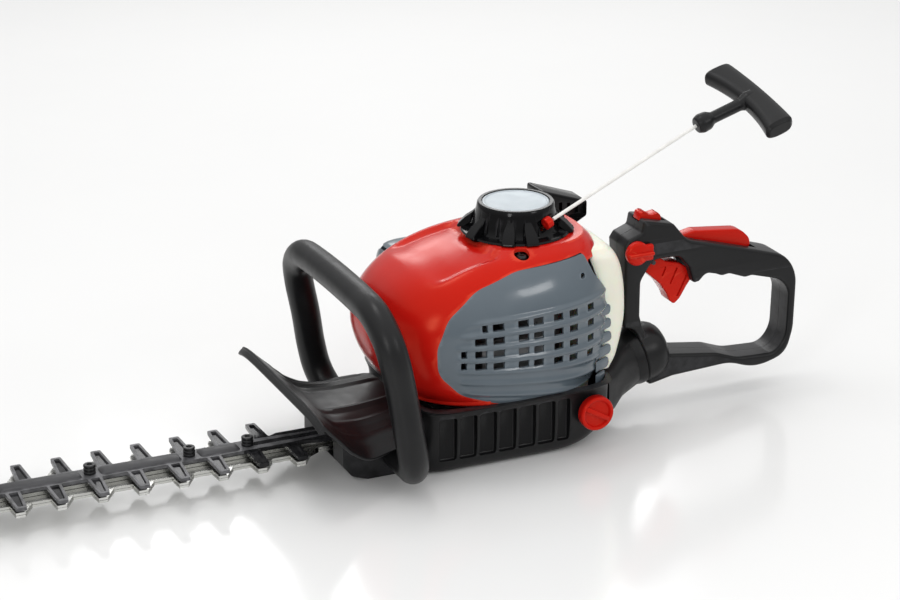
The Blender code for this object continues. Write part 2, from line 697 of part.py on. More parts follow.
def make_cylinder_block():
    crankcase = box("crankcase", (-31, -31, 69), (31, 31, 121), ALLOY, 5, 2)
    cut(crankcase, box("crank_chamber", (-26, -26, 74), (26, 26, 116)),
        rod("crank_bore", (0, 0, 60), (0, 0, 130), 6.5, sides=20),
        rod("cylinder_mouth", (-40, 0, 95), (-20, 0, 95), 18.0, sides=24))
    outside = [(4.4, 78), (34, 78)]
    for fin in range(5):
        low = 75.0 - 11.6 * fin
        outside += [(34, low), (25, low), (25, low - 8.2), (34, low - 8.2)]
    inside = [(34, 16), (25, 16), (25, 0), (17.9, 0), (17.9, 66), (4.4, 68), (4.4, 78)]
    turned("cylinder", outside + inside, (-31.5, 0, 95), ALLOY, "-X", 14)
    turned("piston", [(0, 24), (17.2, 24), (17.2, 0), (14, 0), (14, 20), (0, 20)], (-56, 0, 95), ALLOY,
           "-X", 20)
    con_rod = box("connecting_rod", (-66, -4, 91.5), (-33, 4, 98.5), STEEL)
    pin = rod("small_end", (-66, -6.5, 95), (-66, 6.5, 95), 6.0, sides=16)
    join(con_rod, pin)


def make_engine_fittings():
    muffler = box("muffler", (-66, -72, 76), (6, -38, 118), DARK_STEEL, 7, 2)
    cut(muffler, rod("exhaust_port", (-52, -60, 97), (-52, -20, 97), 8.0, sides=16))
    turned("spark_plug", [(0, 16), (4.0, 16), (4.0, 7), (7, 7), (7, 0.4), (4.1, 0.4), (4.1, -9), (0, -9)],
           (-109.5, 0, 95), WHITE, "-X", 16)
    turned("plug_boot", [(0, 21), (6, 21), (7.5, 19), (7.5, 9), (4.5, 9), (4.5, 17), (0, 17)],
           (-109.5, 0, 95), RUBBER, "-X", 16)
    carburettor = box("carburettor", (-72, 36, 104), (-34, 66, 134), ALLOY, 3, 1)
    cut(carburettor, rod("intake_bore", (-53, 30, 119), (-53, 70, 119), 8.0, sides=16))
    box("ignition_coil", (-16, 47, 138), (16, 60, 158), BLACK, 2, 1)
    side = rounded([(42, 208, 3), (89, 192, 3), (89, 178, 4), (78, 172, 4), (44, 178, 3)], 3)
    hood = plate("intake_hood", side, 36, 66, GLOSS_BLACK, plane="XZ")
    bevel(hood, 2.0, 1)
    cut(hood, cover_surface("intake_hood_seat", 0.5, True))


# ---------------------------------------------------------------- recoil starter

def make_starter():
    skin = [(0, 214.4), (29.7, 214.4), (29.7, 216.6), (32.6, 216.6), (34, 209), (38, 198), (42, 194),
            (48, 191.0), (41, 191.0), (36, 196), (31, 211), (3, 211), (3, 196), (0, 196)]
    housing = turned("starter_housing", skin, (0, 0, 0), GLOSS_BLACK, steps=28)
    inside = CORD_EXIT - CORD_DIRECTION * 16
    outside = CORD_EXIT + CORD_DIRECTION * 8
    cut(housing, rod("eyelet_hole", inside, outside, 5.6, sides=16))
    turned("starter_badge", [(0, 215.9), (29.3, 215.9), (29.3, 214.7), (0, 214.7)], (0, 0, 0),
           BADGE, steps=28)
    turned("rope_pulley", [(3.4, 207), (26, 207), (26, 205), (20, 203), (20, 200), (26, 198), (26, 196.5),
                           (3.4, 196.5), (3.4, 207)], (0, 0, 0), ALLOY, steps=16)
    turned("cord_eyelet", [(1.9, 0), (4.4, 0), (5.2, -1), (5.2, -9), (1.9, -9), (1.9, 0)],
           CORD_EXIT - CORD_DIRECTION * GAP, RED, CORD_DIRECTION, 16)


def cord_path():
    """The cord runs dead straight from the eyelet to the grip's knot, because it is pulled taut."""
    return smooth_path([CORD_EXIT, (CORD_EXIT + CORD_END) / 2, CORD_END - CORD_DIRECTION * GAP], 9.0)


def make_cord_and_grip():
    tube("starter_cord", cord_path(), CORD_RADIUS, CORD, 2)
    centre = GRIP_CENTRE
    along = (centre - CORD_END).normalized()
    bar = Vector((21.0, -100.0, -23.0))
    bar = (bar - along * bar.dot(along)).normalized()
    thick = bar.cross(along)
    rings = []
    for station in (-1, -0.93, -0.5, 0, 0.5, 0.93, 1):
        end = abs(station) == 1
        middle = centre + bar * station * GRIP_LENGTH / 2 - along * 5 * station * station
        half_width = 11.5 + 3.0 * station * station - (4.0 if end else 0)
        ring = superellipse(-half_width, half_width, 5.5 if end else 8.5, 0, 3.0, 12)
        rings.append([tuple(middle + along * a + thick * b) for a, b, _ in ring])
    grip = loft("starter_grip", rings, BLACK)
    reach = (centre - CORD_END).length
    stem = turned("grip_stem", [(0, reach), (7.0, reach), (5.5, 17), (8.5, 12), (9.0, 5), (7.0, 0), (0, 0)],
                  CORD_END, None, along, 16)
    pivot(join(grip, stem), CORD_END)


# ---------------------------------------------------------------- rear handle

HANDLE_OUTLINE = ((127.9, 26, 0), (115.6, 80, 0), (101, 86, 3), (101, 150, 6), (100, 163, 2),
                  (104, 169, 4), (117, 174, 0), (119, 185, 3), (149, 178, 5), (163, 161, 12),
                  (190, 153.5, 20), (236, 140.5, 60), (267, 131, 26), (279.5, 112, 22), (278.5, 58, 18),
                  (272, 33, 20), (240, 24, 12), (212, 34, 24), (152, 31, 20))
HANDLE_WINDOW = ((117, 92, 8), (117, 128, 10), (129, 147, 12), (156, 146, 8), (166, 134, 3), (171, 118, 3),
                 (186, 125, 6), (210, 118, 20), (262, 108, 14), (272, 96, 8), (271, 50, 12),
                 (260, 36, 12), (220, 38, 10), (198, 46, 10), (150, 53, 8), (136, 74, 14))


def switch_frame():
    """Where the stop switch sits: level across, sloping down to the rear with the handle's top."""
    return Matrix.Translation(metres(SWITCH_CENTRE)) @ Matrix.Rotation(SWITCH_SLOPE, 4, "Y")


def make_handle_half(name, side):
    inner, outer = side * GAP / 2, side * REAR_HALF_WIDTH
    half = plate(name, rounded(HANDLE_OUTLINE, 3), min(inner, outer), max(inner, outer), BLACK, plane="XZ",
                 holes=[rounded(HANDLE_WINDOW, 3)])
    centre = Vector(SWIVEL_CENTRE)
    axis = swivel_axis()
    hub = loft(f"{name}_hub", [swivel_ring(distance, radius) for distance, radius in
                               ((GAP / 2, SWIVEL_RADIUS), (7, 26.0), (13, 22.5), (18, 16.0), (20, 10.0))])
    other_side = box(f"{name}_other_side", (60, -60, 0), (240, 60, 120))
    other_side.location.y = (-side * 60 + inner) * MM
    join(half, cut(hub, other_side))
    switch_slot = box(f"{name}_switch_slot", (-15.8, -6.5, -5), (15.8, 6.5, 12))
    switch_slot.matrix_world = switch_frame()
    px, _, pz = TRIGGER_PIVOT
    cut(half, box(f"{name}_trigger_slot", (121, -8.8, 112), (186, 8.8, 158)),
        box(f"{name}_lockout_slot", (158, -7.0, 126), (240, 7.0, 190)), switch_slot,
        rod(f"{name}_pin_hole", (px, -14, pz), (px, 14, pz), 2.4, sides=12),
        rod(f"{name}_bolt_bore", centre - axis * 3, centre + axis * 18, 6.3, sides=16))
    return pivot(half, SWIVEL_CENTRE)


def make_rear_handle():
    near = make_handle_half("rear_handle_near", -1)
    make_handle_half("rear_handle_far", 1)
    kx, ky, kz = KNOB_CENTRE
    cut(near, rod("knob_hole", (kx, ky - 5, kz), (kx, ky + 8, kz), 4.4, sides=16))
    px, _, pz = TRIGGER_PIVOT
    side = rounded([(127, 136, 4), (127, 149, 4), (142, 150, 4), (166, 142, 6), (177, 123, 3), (157, 96, 3),
                    (149, 106, 10), (140, 122, 14)], 3)
    trigger = plate("throttle_trigger", side, -8.2, 8.2, RED, plane="XZ")
    bevel(trigger, 1.5, 1)
    pivot(cut(trigger, rod("trigger_bore", (px, -12, pz), (px, 12, pz), 2.4, sides=12)), TRIGGER_PIVOT)
    pivot(rod("trigger_pin", (px, -13.5, pz), (px, 13.5, pz), 2.0, DARK_STEEL, 12), TRIGGER_PIVOT)
    top = rounded([(162, 154, 2), (160, 161, 3), (176, 164.5, 6), (216, 159.5, 10), (234, 144, 3),
                   (229, 138, 3), (180, 150, 10)], 3)
    lockout = plate("throttle_lockout", top, -6.4, 6.4, RED, plane="XZ")
    pivot(bevel(lockout, 1.2, 1), LOCKOUT_PIVOT)
    switch = box("stop_switch", (-11, -5.9, -4.4), (11, 5.9, 5.0), RED, 1.5, 1)
    switch.matrix_world = switch_frame()
    knob = turned("lock_knob", [(0, 7), (9, 7), (11, 5), (11, 0.3), (4, 0.3), (4, -7), (0, -7)],
                  KNOB_CENTRE, RED, "-Y", 24)
    join(knob, box("knob_pointer", (kx, ky - 6.5, kz - 5), (kx + 16, ky - 0.6, kz + 4)))
    centre = Vector(SWIVEL_CENTRE)
    rod("swivel_bolt", centre - swivel_axis() * 25, centre + swivel_axis() * 16, 6.0, DARK_STEEL, 16)


def main():
    make_blade()
    make_gear_drive()
    make_carrier()
    make_guard()
    make_front_handle()
    make_base()
    make_mount()
    make_engine_cover()
    make_side_cover()
    make_filter_cover()
    make_tank()
    make_fuel_cap()
    make_crank_train()
    make_cylinder_block()
    make_engine_fittings()
    make_starter()
    make_cord_and_grip()
    make_rear_handle()


main()
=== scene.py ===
"""Looks of the petrol hedge trimmer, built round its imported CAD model.

The crankshaft stands on X = Y = 0, the blade points along -X and the rear handle along +X. Sizes
below are in millimetres; MM turns them into Blender's metres.
"""

import json
import math

import bmesh
import bpy
from mathutils import Matrix, Vector


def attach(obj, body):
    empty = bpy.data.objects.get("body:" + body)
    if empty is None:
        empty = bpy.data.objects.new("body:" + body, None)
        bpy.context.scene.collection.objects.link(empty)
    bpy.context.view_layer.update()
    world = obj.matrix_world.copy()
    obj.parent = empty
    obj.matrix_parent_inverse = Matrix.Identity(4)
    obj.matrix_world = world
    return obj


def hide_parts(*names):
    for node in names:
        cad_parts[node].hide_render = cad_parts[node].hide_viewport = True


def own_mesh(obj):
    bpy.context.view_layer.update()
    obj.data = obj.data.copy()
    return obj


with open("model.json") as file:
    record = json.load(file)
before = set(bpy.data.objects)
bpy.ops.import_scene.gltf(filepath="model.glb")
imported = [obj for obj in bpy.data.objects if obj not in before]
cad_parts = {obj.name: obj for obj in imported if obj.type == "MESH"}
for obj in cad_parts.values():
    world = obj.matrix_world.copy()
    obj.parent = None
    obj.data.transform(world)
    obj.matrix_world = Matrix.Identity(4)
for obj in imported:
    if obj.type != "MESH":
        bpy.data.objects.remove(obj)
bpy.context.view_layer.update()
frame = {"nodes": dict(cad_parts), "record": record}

MM = 0.001
GAP = 0.3
NODES = frame["nodes"]

# Blade.
TOOTH_PITCH = 35.0
TEETH_PER_SIDE = 16
FIRST_NEAR_TOOTH_X = -217.7
TOOTH_REACH = 42.0
TOOTH_LEAN = 1.0
SPINE_HALF = 10.0
COMB_Z = (27.6, 30.6)
BLADE_TIP_X = -786.0
BOLT_TEETH = (1.0, 2.5, 5.0, 7.5, 10.0, 12.5)
CARRIER_BOLTS_X = (-166.0, -137.0)

# Covers, starter and cap.
WALL = 3.0
COVER_TOP_Z = 190.0
STARTER_HOLE_RADIUS = 43.0
COVER_SCREW = (-20.0, -54.0)
FUEL_CAP_CENTRE = (43.0, -72.3, 38.0)
FUEL_CAP_RADIUS = 15.8

# Handles.
FRONT_TUBE_RADIUS = 13.0
SWIVEL_CENTRE = (121.5, 0.0, 52.0)
SWIVEL_TILT = math.radians(13.0)
SWIVEL_RADIUS = 27.0
REAR_HALF_WIDTH = 17.0
TRIGGER_PIVOT = (131.0, 0.0, 143.0)
SWITCH_CENTRE = (130.5, 0.0, 183.6)
SWITCH_SLOPE = math.atan2(9, 38)
KNOB_CENTRE = (110.5, -REAR_HALF_WIDTH, 157.0)

# Starter cord.
CORD_RADIUS = 1.6
CORD_EXIT = Vector((20.0, -33.0, 206.5))
CORD_END = Vector((177.0, 0.0, 261.0))
CORD_DIRECTION = (CORD_END - CORD_EXIT).normalized()
GRIP_LENGTH = 104.0
GRIP_CENTRE = Vector((234.0, 1.0, 279.0))


# ---------------------------------------------------------------- camera, floor and light

def make_camera():
    azimuth, elevation = math.radians(-24.31), math.radians(20.99)
    aim = Vector((-62.5, 0.0, 133.4)) * MM
    distance, sensor, focal_share = 2.3, 36.0, 2645.6 / 900
    back = Vector((math.sin(azimuth) * math.cos(elevation), -math.cos(azimuth) * math.cos(elevation),
                   math.sin(elevation)))
    right = Vector((math.cos(azimuth), math.sin(azimuth), 0.0))
    up = back.cross(right)
    data = bpy.data.cameras.new("camera")
    data.sensor_width = sensor
    data.lens = sensor * focal_share
    camera = add_object("camera", data)
    turn = Matrix((right, up, back)).transposed().to_4x4()
    camera.matrix_world = Matrix.Translation(aim + back * distance) @ turn
    bpy.context.scene.camera = camera


def area_light(name, place, aim, width, height, power, colour=(1.0, 1.0, 1.0)):
    data = bpy.data.lights.new(name, "AREA")
    data.shape = "RECTANGLE"
    data.size = width
    data.size_y = height
    data.energy = power
    data.color = colour
    light = add_object(name, data)
    light.location = place
    light.rotation_euler = (Vector(aim) - Vector(place)).to_track_quat("-Z", "Y").to_euler()


def make_light():
    """An even white room, brighter overhead than at the horizon, with four soft boxes."""
    horizon, zenith = 0.40, 1.28
    world = bpy.data.worlds.new("studio")
    world.use_nodes = True
    background = world.node_tree.nodes["Background"]
    background.inputs["Color"].default_value = (1.0, 1.0, 1.0, 1.0)
    nodes, links = world.node_tree.nodes, world.node_tree.links
    direction = nodes.new("ShaderNodeSeparateXYZ")
    links.new(nodes.new("ShaderNodeTexCoord").outputs["Generated"], direction.inputs["Vector"])
    links.new(remapped(nodes, links, direction.outputs["Z"], 0.0, 1.0, horizon, zenith),
              background.inputs["Strength"])
    bpy.context.scene.world = world
    bpy.context.scene.view_settings.view_transform = "Standard"
    area_light("overhead", (-0.25, 0.25, 1.5), (-0.05, 0.0, 0.1), 0.5, 0.3, 2.5)
    area_light("front_left", (-1.15, -1.25, 0.75), (-0.05, 0.0, 0.12), 0.28, 0.6, 4.0)
    area_light("front_right", (0.9, -1.5, 1.05), (0.0, 0.0, 0.12), 0.45, 0.3, 3.0)
    area_light("behind", (0.5, 1.5, 0.9), (0.0, 0.0, 0.1), 0.9, 0.3, 3.0)


# ---------------------------------------------------------------- materials

def blend_colours(nodes, links, first, second, factor):
    """Mixes two colours, each a tuple or an output, by a factor's output."""
    mix = nodes.new("ShaderNodeMix")
    mix.data_type = "RGBA"
    links.new(factor, mix.inputs["Factor"])
    for socket, value in ((mix.inputs["A"], first), (mix.inputs["B"], second)):
        if isinstance(value, tuple):
            socket.default_value = (*value, 1.0)
        else:
            links.new(value, socket)
    return mix.outputs["Result"]


def remapped(nodes, links, source, from_low, from_high, to_low, to_high):
    ranged = nodes.new("ShaderNodeMapRange")
    ranged.inputs["From Min"].default_value = from_low
    ranged.inputs["From Max"].default_value = from_high
    ranged.inputs["To Min"].default_value = to_low
    ranged.inputs["To Max"].default_value = to_high
    links.new(source, ranged.inputs["Value"])
    return ranged.outputs["Result"]


def noise(nodes, links, place, scale, detail=3.0, stretch=None):
    texture = nodes.new("ShaderNodeTexNoise")
    texture.inputs["Scale"].default_value = scale
    texture.inputs["Detail"].default_value = detail
    if stretch:
        mapping = nodes.new("ShaderNodeMapping")
        mapping.inputs["Scale"].default_value = stretch
        links.new(place, mapping.inputs["Vector"])
        place = mapping.outputs["Vector"]
    links.new(place, texture.inputs["Vector"])
    return texture.outputs["Fac"]


def surface(base, second, roughness, spread, grain=0.05, grain_scale=1500.0, metallic=0.0, coat=0.0,
            edge=None, edge_share=0.35, patch_scale=16.0, stretch=None, specular=0.5,
            tint=(1.0, 1.0, 1.0), subsurface=0.0):
    """A moulded, painted or metal finish.

    Broad patches vary the colour and the gloss, a fine grain makes the bump, and convex edges are
    rubbed toward the edge colour.
    """
    material = bpy.data.materials.new("finish")
    material.use_nodes = True
    nodes, links = material.node_tree.nodes, material.node_tree.links
    shader = nodes["Principled BSDF"]
    shader.inputs["Metallic"].default_value = metallic
    shader.inputs["Coat Weight"].default_value = coat
    shader.inputs["Coat Roughness"].default_value = 0.06
    shader.inputs["Specular IOR Level"].default_value = specular
    shader.inputs["Specular Tint"].default_value = (*tint, 1.0)
    shader.inputs["Subsurface Weight"].default_value = subsurface
    shader.inputs["Subsurface Scale"].default_value = 0.006
    place = nodes.new("ShaderNodeTexCoord").outputs["Object"]
    patches = noise(nodes, links, place, patch_scale, 4.0, stretch)
    fine = noise(nodes, links, place, grain_scale, 2.0, stretch)
    factor = remapped(nodes, links, patches, 0.3, 0.7, 0.0, 1.0)
    colour = blend_colours(nodes, links, base, second, factor)
    smear = noise(nodes, links, place, patch_scale * 6.0, 5.0, stretch)
    rough = remapped(nodes, links, smear, 0.3, 0.7, roughness - spread, roughness + spread)
    if edge:
        pointiness = nodes.new("ShaderNodeNewGeometry").outputs["Pointiness"]
        worn = remapped(nodes, links, pointiness, 0.54, 0.64, 0.0, edge_share)
        broken = nodes.new("ShaderNodeMath")
        broken.operation = "MULTIPLY"
        links.new(worn, broken.inputs[0])
        links.new(remapped(nodes, links, smear, 0.35, 0.6, 0.2, 1.0), broken.inputs[1])
        colour = blend_colours(nodes, links, colour, edge, broken.outputs["Value"])
    links.new(colour, shader.inputs["Base Color"])
    links.new(rough, shader.inputs["Roughness"])
    bump = nodes.new("ShaderNodeBump")
    bump.inputs["Strength"].default_value = grain
    bump.inputs["Distance"].default_value = 0.0004
    links.new(fine, bump.inputs["Height"])
    links.new(bump.outputs["Normal"], shader.inputs["Normal"])
    return material


MATERIALS = {
    "red_plastic": surface((0.56, 0.010, 0.006), (0.50, 0.008, 0.005), 0.22, 0.04, 0.03,
        edge=(0.80, 0.10, 0.05), specular=0.40, tint=(1.0, 0.30, 0.16)),
    "grey_plastic": surface((0.105, 0.132, 0.155), (0.090, 0.114, 0.136), 0.19, 0.03, 0.02, coat=0.25,
        specular=0.4, edge=(0.26, 0.31, 0.35), edge_share=0.2),
    "black_plastic": surface((0.0085, 0.0086, 0.0092), (0.006, 0.006, 0.0066), 0.34, 0.05, 0.16,
        edge=(0.06, 0.06, 0.065), edge_share=0.4, specular=0.26),
    "gloss_black_plastic": surface((0.004, 0.004, 0.0045), (0.003, 0.003, 0.0035), 0.14, 0.04, 0.02,
        edge=(0.06, 0.06, 0.065), specular=0.17),
    "tank_plastic": surface((0.86, 0.85, 0.74), (0.80, 0.79, 0.66), 0.34, 0.05, 0.06,
        edge=(0.92, 0.91, 0.84), edge_share=0.4, subsurface=0.35),
    "comb_metal": surface((0.050, 0.050, 0.053), (0.036, 0.036, 0.039), 0.40, 0.08, 0.2, metallic=0.25,
        edge=(0.22, 0.22, 0.23), edge_share=0.6, specular=0.35),
    "blade_steel": surface((0.56, 0.56, 0.53), (0.46, 0.46, 0.44), 0.26, 0.06, 0.04, 900.0,
        metallic=1.0, edge=(0.8, 0.8, 0.78), edge_share=0.7, stretch=(1.0, 3.0, 3.0)),
    "dark_steel": surface((0.022, 0.022, 0.023), (0.015, 0.015, 0.016), 0.34, 0.08, 0.12, metallic=0.5,
        edge=(0.14, 0.14, 0.145), edge_share=0.5),
    "cast_alloy": surface((0.40, 0.40, 0.41), (0.30, 0.30, 0.31), 0.52, 0.08, 0.5, 500.0, metallic=0.9,
        edge=(0.6, 0.6, 0.6)),
    "rubber": surface((0.020, 0.020, 0.020), (0.014, 0.014, 0.014), 0.75, 0.08, 0.3,
        edge=(0.05, 0.05, 0.05)),
    "filter_foam": surface((0.050, 0.050, 0.042), (0.030, 0.030, 0.026), 0.92, 0.04, 1.0, 420.0,
        edge=(0.09, 0.09, 0.08)),
    "plug_ceramic": surface((0.84, 0.83, 0.80), (0.76, 0.75, 0.72), 0.2, 0.05, 0.03,
        edge=(0.9, 0.9, 0.88)),
    "badge_metal": surface((0.45, 0.49, 0.52), (0.40, 0.45, 0.48), 0.34, 0.06, 0.06, 900.0,
        metallic=0.2, specular=0.3, edge=(0.8, 0.85, 0.88)),
    "cord_nylon": surface((0.86, 0.85, 0.82), (0.74, 0.73, 0.70), 0.62, 0.08, 0.8, 900.0,
        edge=(0.9, 0.9, 0.88), patch_scale=120.0),
}
for material_name, finish in MATERIALS.items():
    finish.name = material_name
MATERIALS["guide_metal"] = MATERIALS["blade_steel"]
MATERIALS["gear_steel"] = MATERIALS["blade_steel"]


# ---------------------------------------------------------------- modelling helpers (millimetres in)

def metres(point):
    return Vector(point) * MM


def turn_at(place, angle):
    """The matrix of a turn about the Y direction at a place."""
    return Matrix.Translation(metres(place)) @ Matrix.Rotation(angle, 4, "Y")


def add_object(name, data):
    body = bpy.data.objects.new(name, data)
    bpy.context.scene.collection.objects.link(body)
    return body


def from_bmesh(name, bm, sharp=32.0):
    bmesh.ops.recalc_face_normals(bm, faces=bm.faces)
    mesh = bpy.data.meshes.new(name)
    bm.to_mesh(mesh)
    bm.free()
    mesh.shade_smooth()
    mesh.set_sharp_from_angle(angle=math.radians(sharp))
    return add_object(name, mesh)


def settled(body, sharp=32.0):
    """Applies a piece's modifiers and place to its mesh."""
    bpy.context.view_layer.update()
    graph = bpy.context.evaluated_depsgraph_get()
    mesh = bpy.data.meshes.new_from_object(body.evaluated_get(graph))
    mesh.transform(body.matrix_world)
    name = body.name
    bpy.data.objects.remove(body)
    mesh.shade_smooth()
    mesh.set_sharp_from_angle(angle=math.radians(sharp))
    return add_object(name, mesh)


def bevelled(body, width, segments=3, angle=35.0):
    modifier = body.modifiers.new("rounding", "BEVEL")
    modifier.width = width * MM
    modifier.segments = segments
    modifier.limit_method = "ANGLE"
    modifier.angle_limit = math.radians(angle)
    modifier.harden_normals = True
    return body


def boolean(body, operation, others):
    for other in others:
        modifier = body.modifiers.new(operation.lower(), "BOOLEAN")
        modifier.operation = operation
        modifier.object = other
    made = settled(body)
    for other in others:
        bpy.data.objects.remove(other)
    return made


def cut(body, *others):
    return boolean(body, "DIFFERENCE", others)


def join(body, *others):
    return boolean(body, "UNION", others)


def piece(body, name, rides, material, replaced=()):
    """Names a finished piece, gives it its material and puts it on its CAD body."""
    body.name = name
    body.data.materials.clear()
    body.data.materials.append(MATERIALS[material])
    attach(body, rides)
    if replaced:
        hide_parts(*replaced)
    return body


def blocks(name, boxes):
    """Several boxes in one mesh, each given by its lowest and highest corner."""
    bm = bmesh.new()
    for low, high in boxes:
        for vertex in bmesh.ops.create_cube(bm, size=1.0)["verts"]:
            vertex.co = metres([(high[k] + low[k]) / 2 + vertex.co[k] * (high[k] - low[k])
                                for k in range(3)])
    return from_bmesh(name, bm)


def block(name, low, high):
    return blocks(name, [(low, high)])


def rod(name, start, end, radius, sides=48, end_radius=None):
    start, end = Vector(start), Vector(end)
    along = end - start
    bm = bmesh.new()
    bmesh.ops.create_cone(bm, cap_ends=True, segments=sides, radius1=radius * MM,
                          radius2=(radius if end_radius is None else end_radius) * MM,
                          depth=along.length * MM)
    turn = along.to_track_quat("Z", "Y").to_matrix().to_4x4()
    bmesh.ops.transform(bm, verts=bm.verts, matrix=Matrix.Translation((start + end) / 2 * MM) @ turn)
    return from_bmesh(name, bm)


def loft(name, rings, closed=True, capped=True, sharp=32.0):
    """Joins rings of equally many points, with flat faces at the ends."""
    bm = bmesh.new()
    rows = [[bm.verts.new(metres(point)) for point in ring] for ring in rings]
    count = len(rows[0])
    for lower, upper in zip(rows, rows[1:]):
        for k in range(count if closed else count - 1):
            after = (k + 1) % count
            bm.faces.new((lower[k], lower[after], upper[after], upper[k]))
    if capped:
        bm.faces.new(rows[0])
        bm.faces.new(rows[-1])
    return from_bmesh(name, bm, sharp)


def turned(name, profile, centre, axis=(0, 0, 1), steps=96):
    """Turns (radius, height) points about an axis through centre; a radius of 0 closes an end."""
    turn = Vector(axis).to_track_quat("Z", "Y").to_matrix()
    bm = bmesh.new()
    rows = []
    for radius, height in profile:
        if radius == 0:
            rows.append([bm.verts.new(metres(Vector(centre) + turn @ Vector((0, 0, height))))] * steps)
            continue
        ring = []
        for k in range(steps):
            angle = 2 * math.pi * k / steps
            spot = Vector((radius * math.cos(angle), radius * math.sin(angle), height))
            ring.append(bm.verts.new(metres(Vector(centre) + turn @ spot)))
        rows.append(ring)
    for lower, upper in zip(rows, rows[1:]):
        for k in range(steps):
            corners = []
            for vertex in (lower[k], lower[(k + 1) % steps], upper[(k + 1) % steps], upper[k]):
                if vertex not in corners:
                    corners.append(vertex)
            bm.faces.new(corners)
    return from_bmesh(name, bm, 28.0)


def bend(back, here, on, reach, steps):
    """Points of a curve round a corner, from a reach back along one side to a reach on along the other."""
    start, end = here + back.normalized() * reach, here + on.normalized() * reach
    for t in (step / steps for step in range(steps + 1)):
        yield tuple((1 - t) ** 2 * start + 2 * t * (1 - t) * here + t ** 2 * end)


def softened(profile, radius=0.8, steps=3):
    """Rounds the corners of an open (radius, height) profile."""
    made = [profile[0]]
    for before, here, after in zip(profile, profile[1:], profile[2:]):
        here = Vector(here)
        back, on = Vector(before) - here, Vector(after) - here
        made += bend(back, here, on, min(radius, 0.45 * back.length, 0.45 * on.length), steps)
    return [*made, profile[-1]]


def rounded(corners, steps=8):
    """Rounds the corners of an outline given as (x, y, radius)."""
    outline = []
    count = len(corners)
    for index, (x, y, radius) in enumerate(corners):
        if radius <= 0:
            outline.append((x, y))
            continue
        here = Vector((x, y))
        back = Vector(corners[index - 1][:2]) - here
        on = Vector(corners[(index + 1) % count][:2]) - here
        reach = min(radius / math.tan(back.angle(on) / 2), 0.49 * back.length, 0.49 * on.length)
        outline += bend(back, here, on, reach, steps)
    return outline


def eased(outline, passes=2):
    """Cuts an outline's corners so that it runs in smooth curves."""
    for _ in range(passes):
        made = []
        for (ax, ay), (bx, by) in zip(outline, outline[1:] + outline[:1]):
            made.append((0.75 * ax + 0.25 * bx, 0.75 * ay + 0.25 * by))
            made.append((0.25 * ax + 0.75 * bx, 0.25 * ay + 0.75 * by))
        outline = made
    return outline


def plate(name, outline, low, high, plane="XY", holes=(), rounding=0.0, resolution=3):
    """A flat outline thickened along the third axis, with rounded rims if asked."""
    curve = bpy.data.curves.new(name, "CURVE")
    curve.dimensions = "2D"
    curve.fill_mode = "BOTH"
    curve.extrude = ((high - low) / 2 - rounding) * MM
    curve.bevel_depth = rounding * MM
    curve.offset = -rounding * MM
    curve.bevel_resolution = resolution
    for loop in (outline, *holes):
        spline = curve.splines.new("POLY")
        spline.points.add(len(loop) - 1)
        for point, (x, y) in zip(spline.points, loop):
            point.co = (x * MM, y * MM, 0.0, 1.0)
        spline.use_cyclic_u = True
    drawn = add_object(name, curve)
    middle = (low + high) / 2 * MM
    if plane == "XZ":
        drawn.matrix_world = Matrix.Translation((0, middle, 0)) @ Matrix.Rotation(math.pi / 2, 4, "X")
    else:
        drawn.matrix_world = Matrix.Translation((0, 0, middle))
    return welded(drawn)


def welded(drawn):
    """Makes a curve object a closed mesh object in its place."""
    bpy.context.view_layer.update()
    graph = bpy.context.evaluated_depsgraph_get()
    mesh = bpy.data.meshes.new_from_object(drawn.evaluated_get(graph))
    bm = bmesh.new()
    bm.from_mesh(mesh)
    bm.transform(drawn.matrix_world)
    bmesh.ops.remove_doubles(bm, verts=bm.verts, dist=0.000002)
    name = drawn.name
    bpy.data.objects.remove(drawn)
    return from_bmesh(name, bm)


def splined(points, steps):
    """Catmull-Rom points between tuples of any length, steps to each stretch."""
    points = [tuple(point) for point in points]
    first = tuple(2 * a - b for a, b in zip(points[0], points[1]))
    last = tuple(2 * a - b for a, b in zip(points[-1], points[-2]))
    padded = [first, *points, last]
    path = []
    for p, q, r, s in zip(padded, padded[1:], padded[2:], padded[3:]):
        for step in range(steps):
            t = step / steps
            path.append(tuple(
                0.5 * (2 * b + (c - a) * t + (2 * a - 5 * b + 4 * c - d) * t ** 2
                       + (3 * b - a - 3 * c + d) * t ** 3) for a, b, c, d in zip(p, q, r, s)))
    return [*path, points[-1]]


def tube(name, path, radius, resolution=10):
    curve = bpy.data.curves.new(name, "CURVE")
    curve.dimensions = "3D"
    curve.bevel_depth = radius * MM
    curve.bevel_resolution = resolution
    curve.use_fill_caps = True
    spline = curve.splines.new("POLY")
    spline.points.add(len(path) - 1)
    for point, spot in zip(spline.points, path):
        point.co = (*metres(spot), 1.0)
    return add_object(name, curve)


def superellipse(x0, x1, half_width, z, power=2.4, count=144):
    """A ring in a level plane between x0 and x1, rounder with a smaller power."""
    ring = []
    for k in range(count):
        angle = 2 * math.pi * (k + 0.5) / count
        c, s = math.cos(angle), math.sin(angle)
        x = (x0 + x1) / 2 + (x1 - x0) / 2 * math.copysign(abs(c) ** (2 / power), c)
        y = half_width * math.copysign(abs(s) ** (2 / power), s)
        ring.append((x, y, z))
    return ring


def level_rings(rows, power, grow=0.0, count=144):
    """Superellipses from rows of (z, x0, x1, half width), all grown by a margin."""
    return [superellipse(x0 - grow, x1 + grow, half + grow, z, power, count) for z, x0, x1, half in rows]


def circle_outline(x, y, radius, count=32):
    return [(x + radius * math.cos(2 * math.pi * k / count), y + radius * math.sin(2 * math.pi * k / count))
            for k in range(count)]


def smoothstep(low, high, value):
    t = min(max((value - low) / (high - low), 0.0), 1.0)
    return t * t * (3 - 2 * t)


# ---------------------------------------------------------------- engine covers

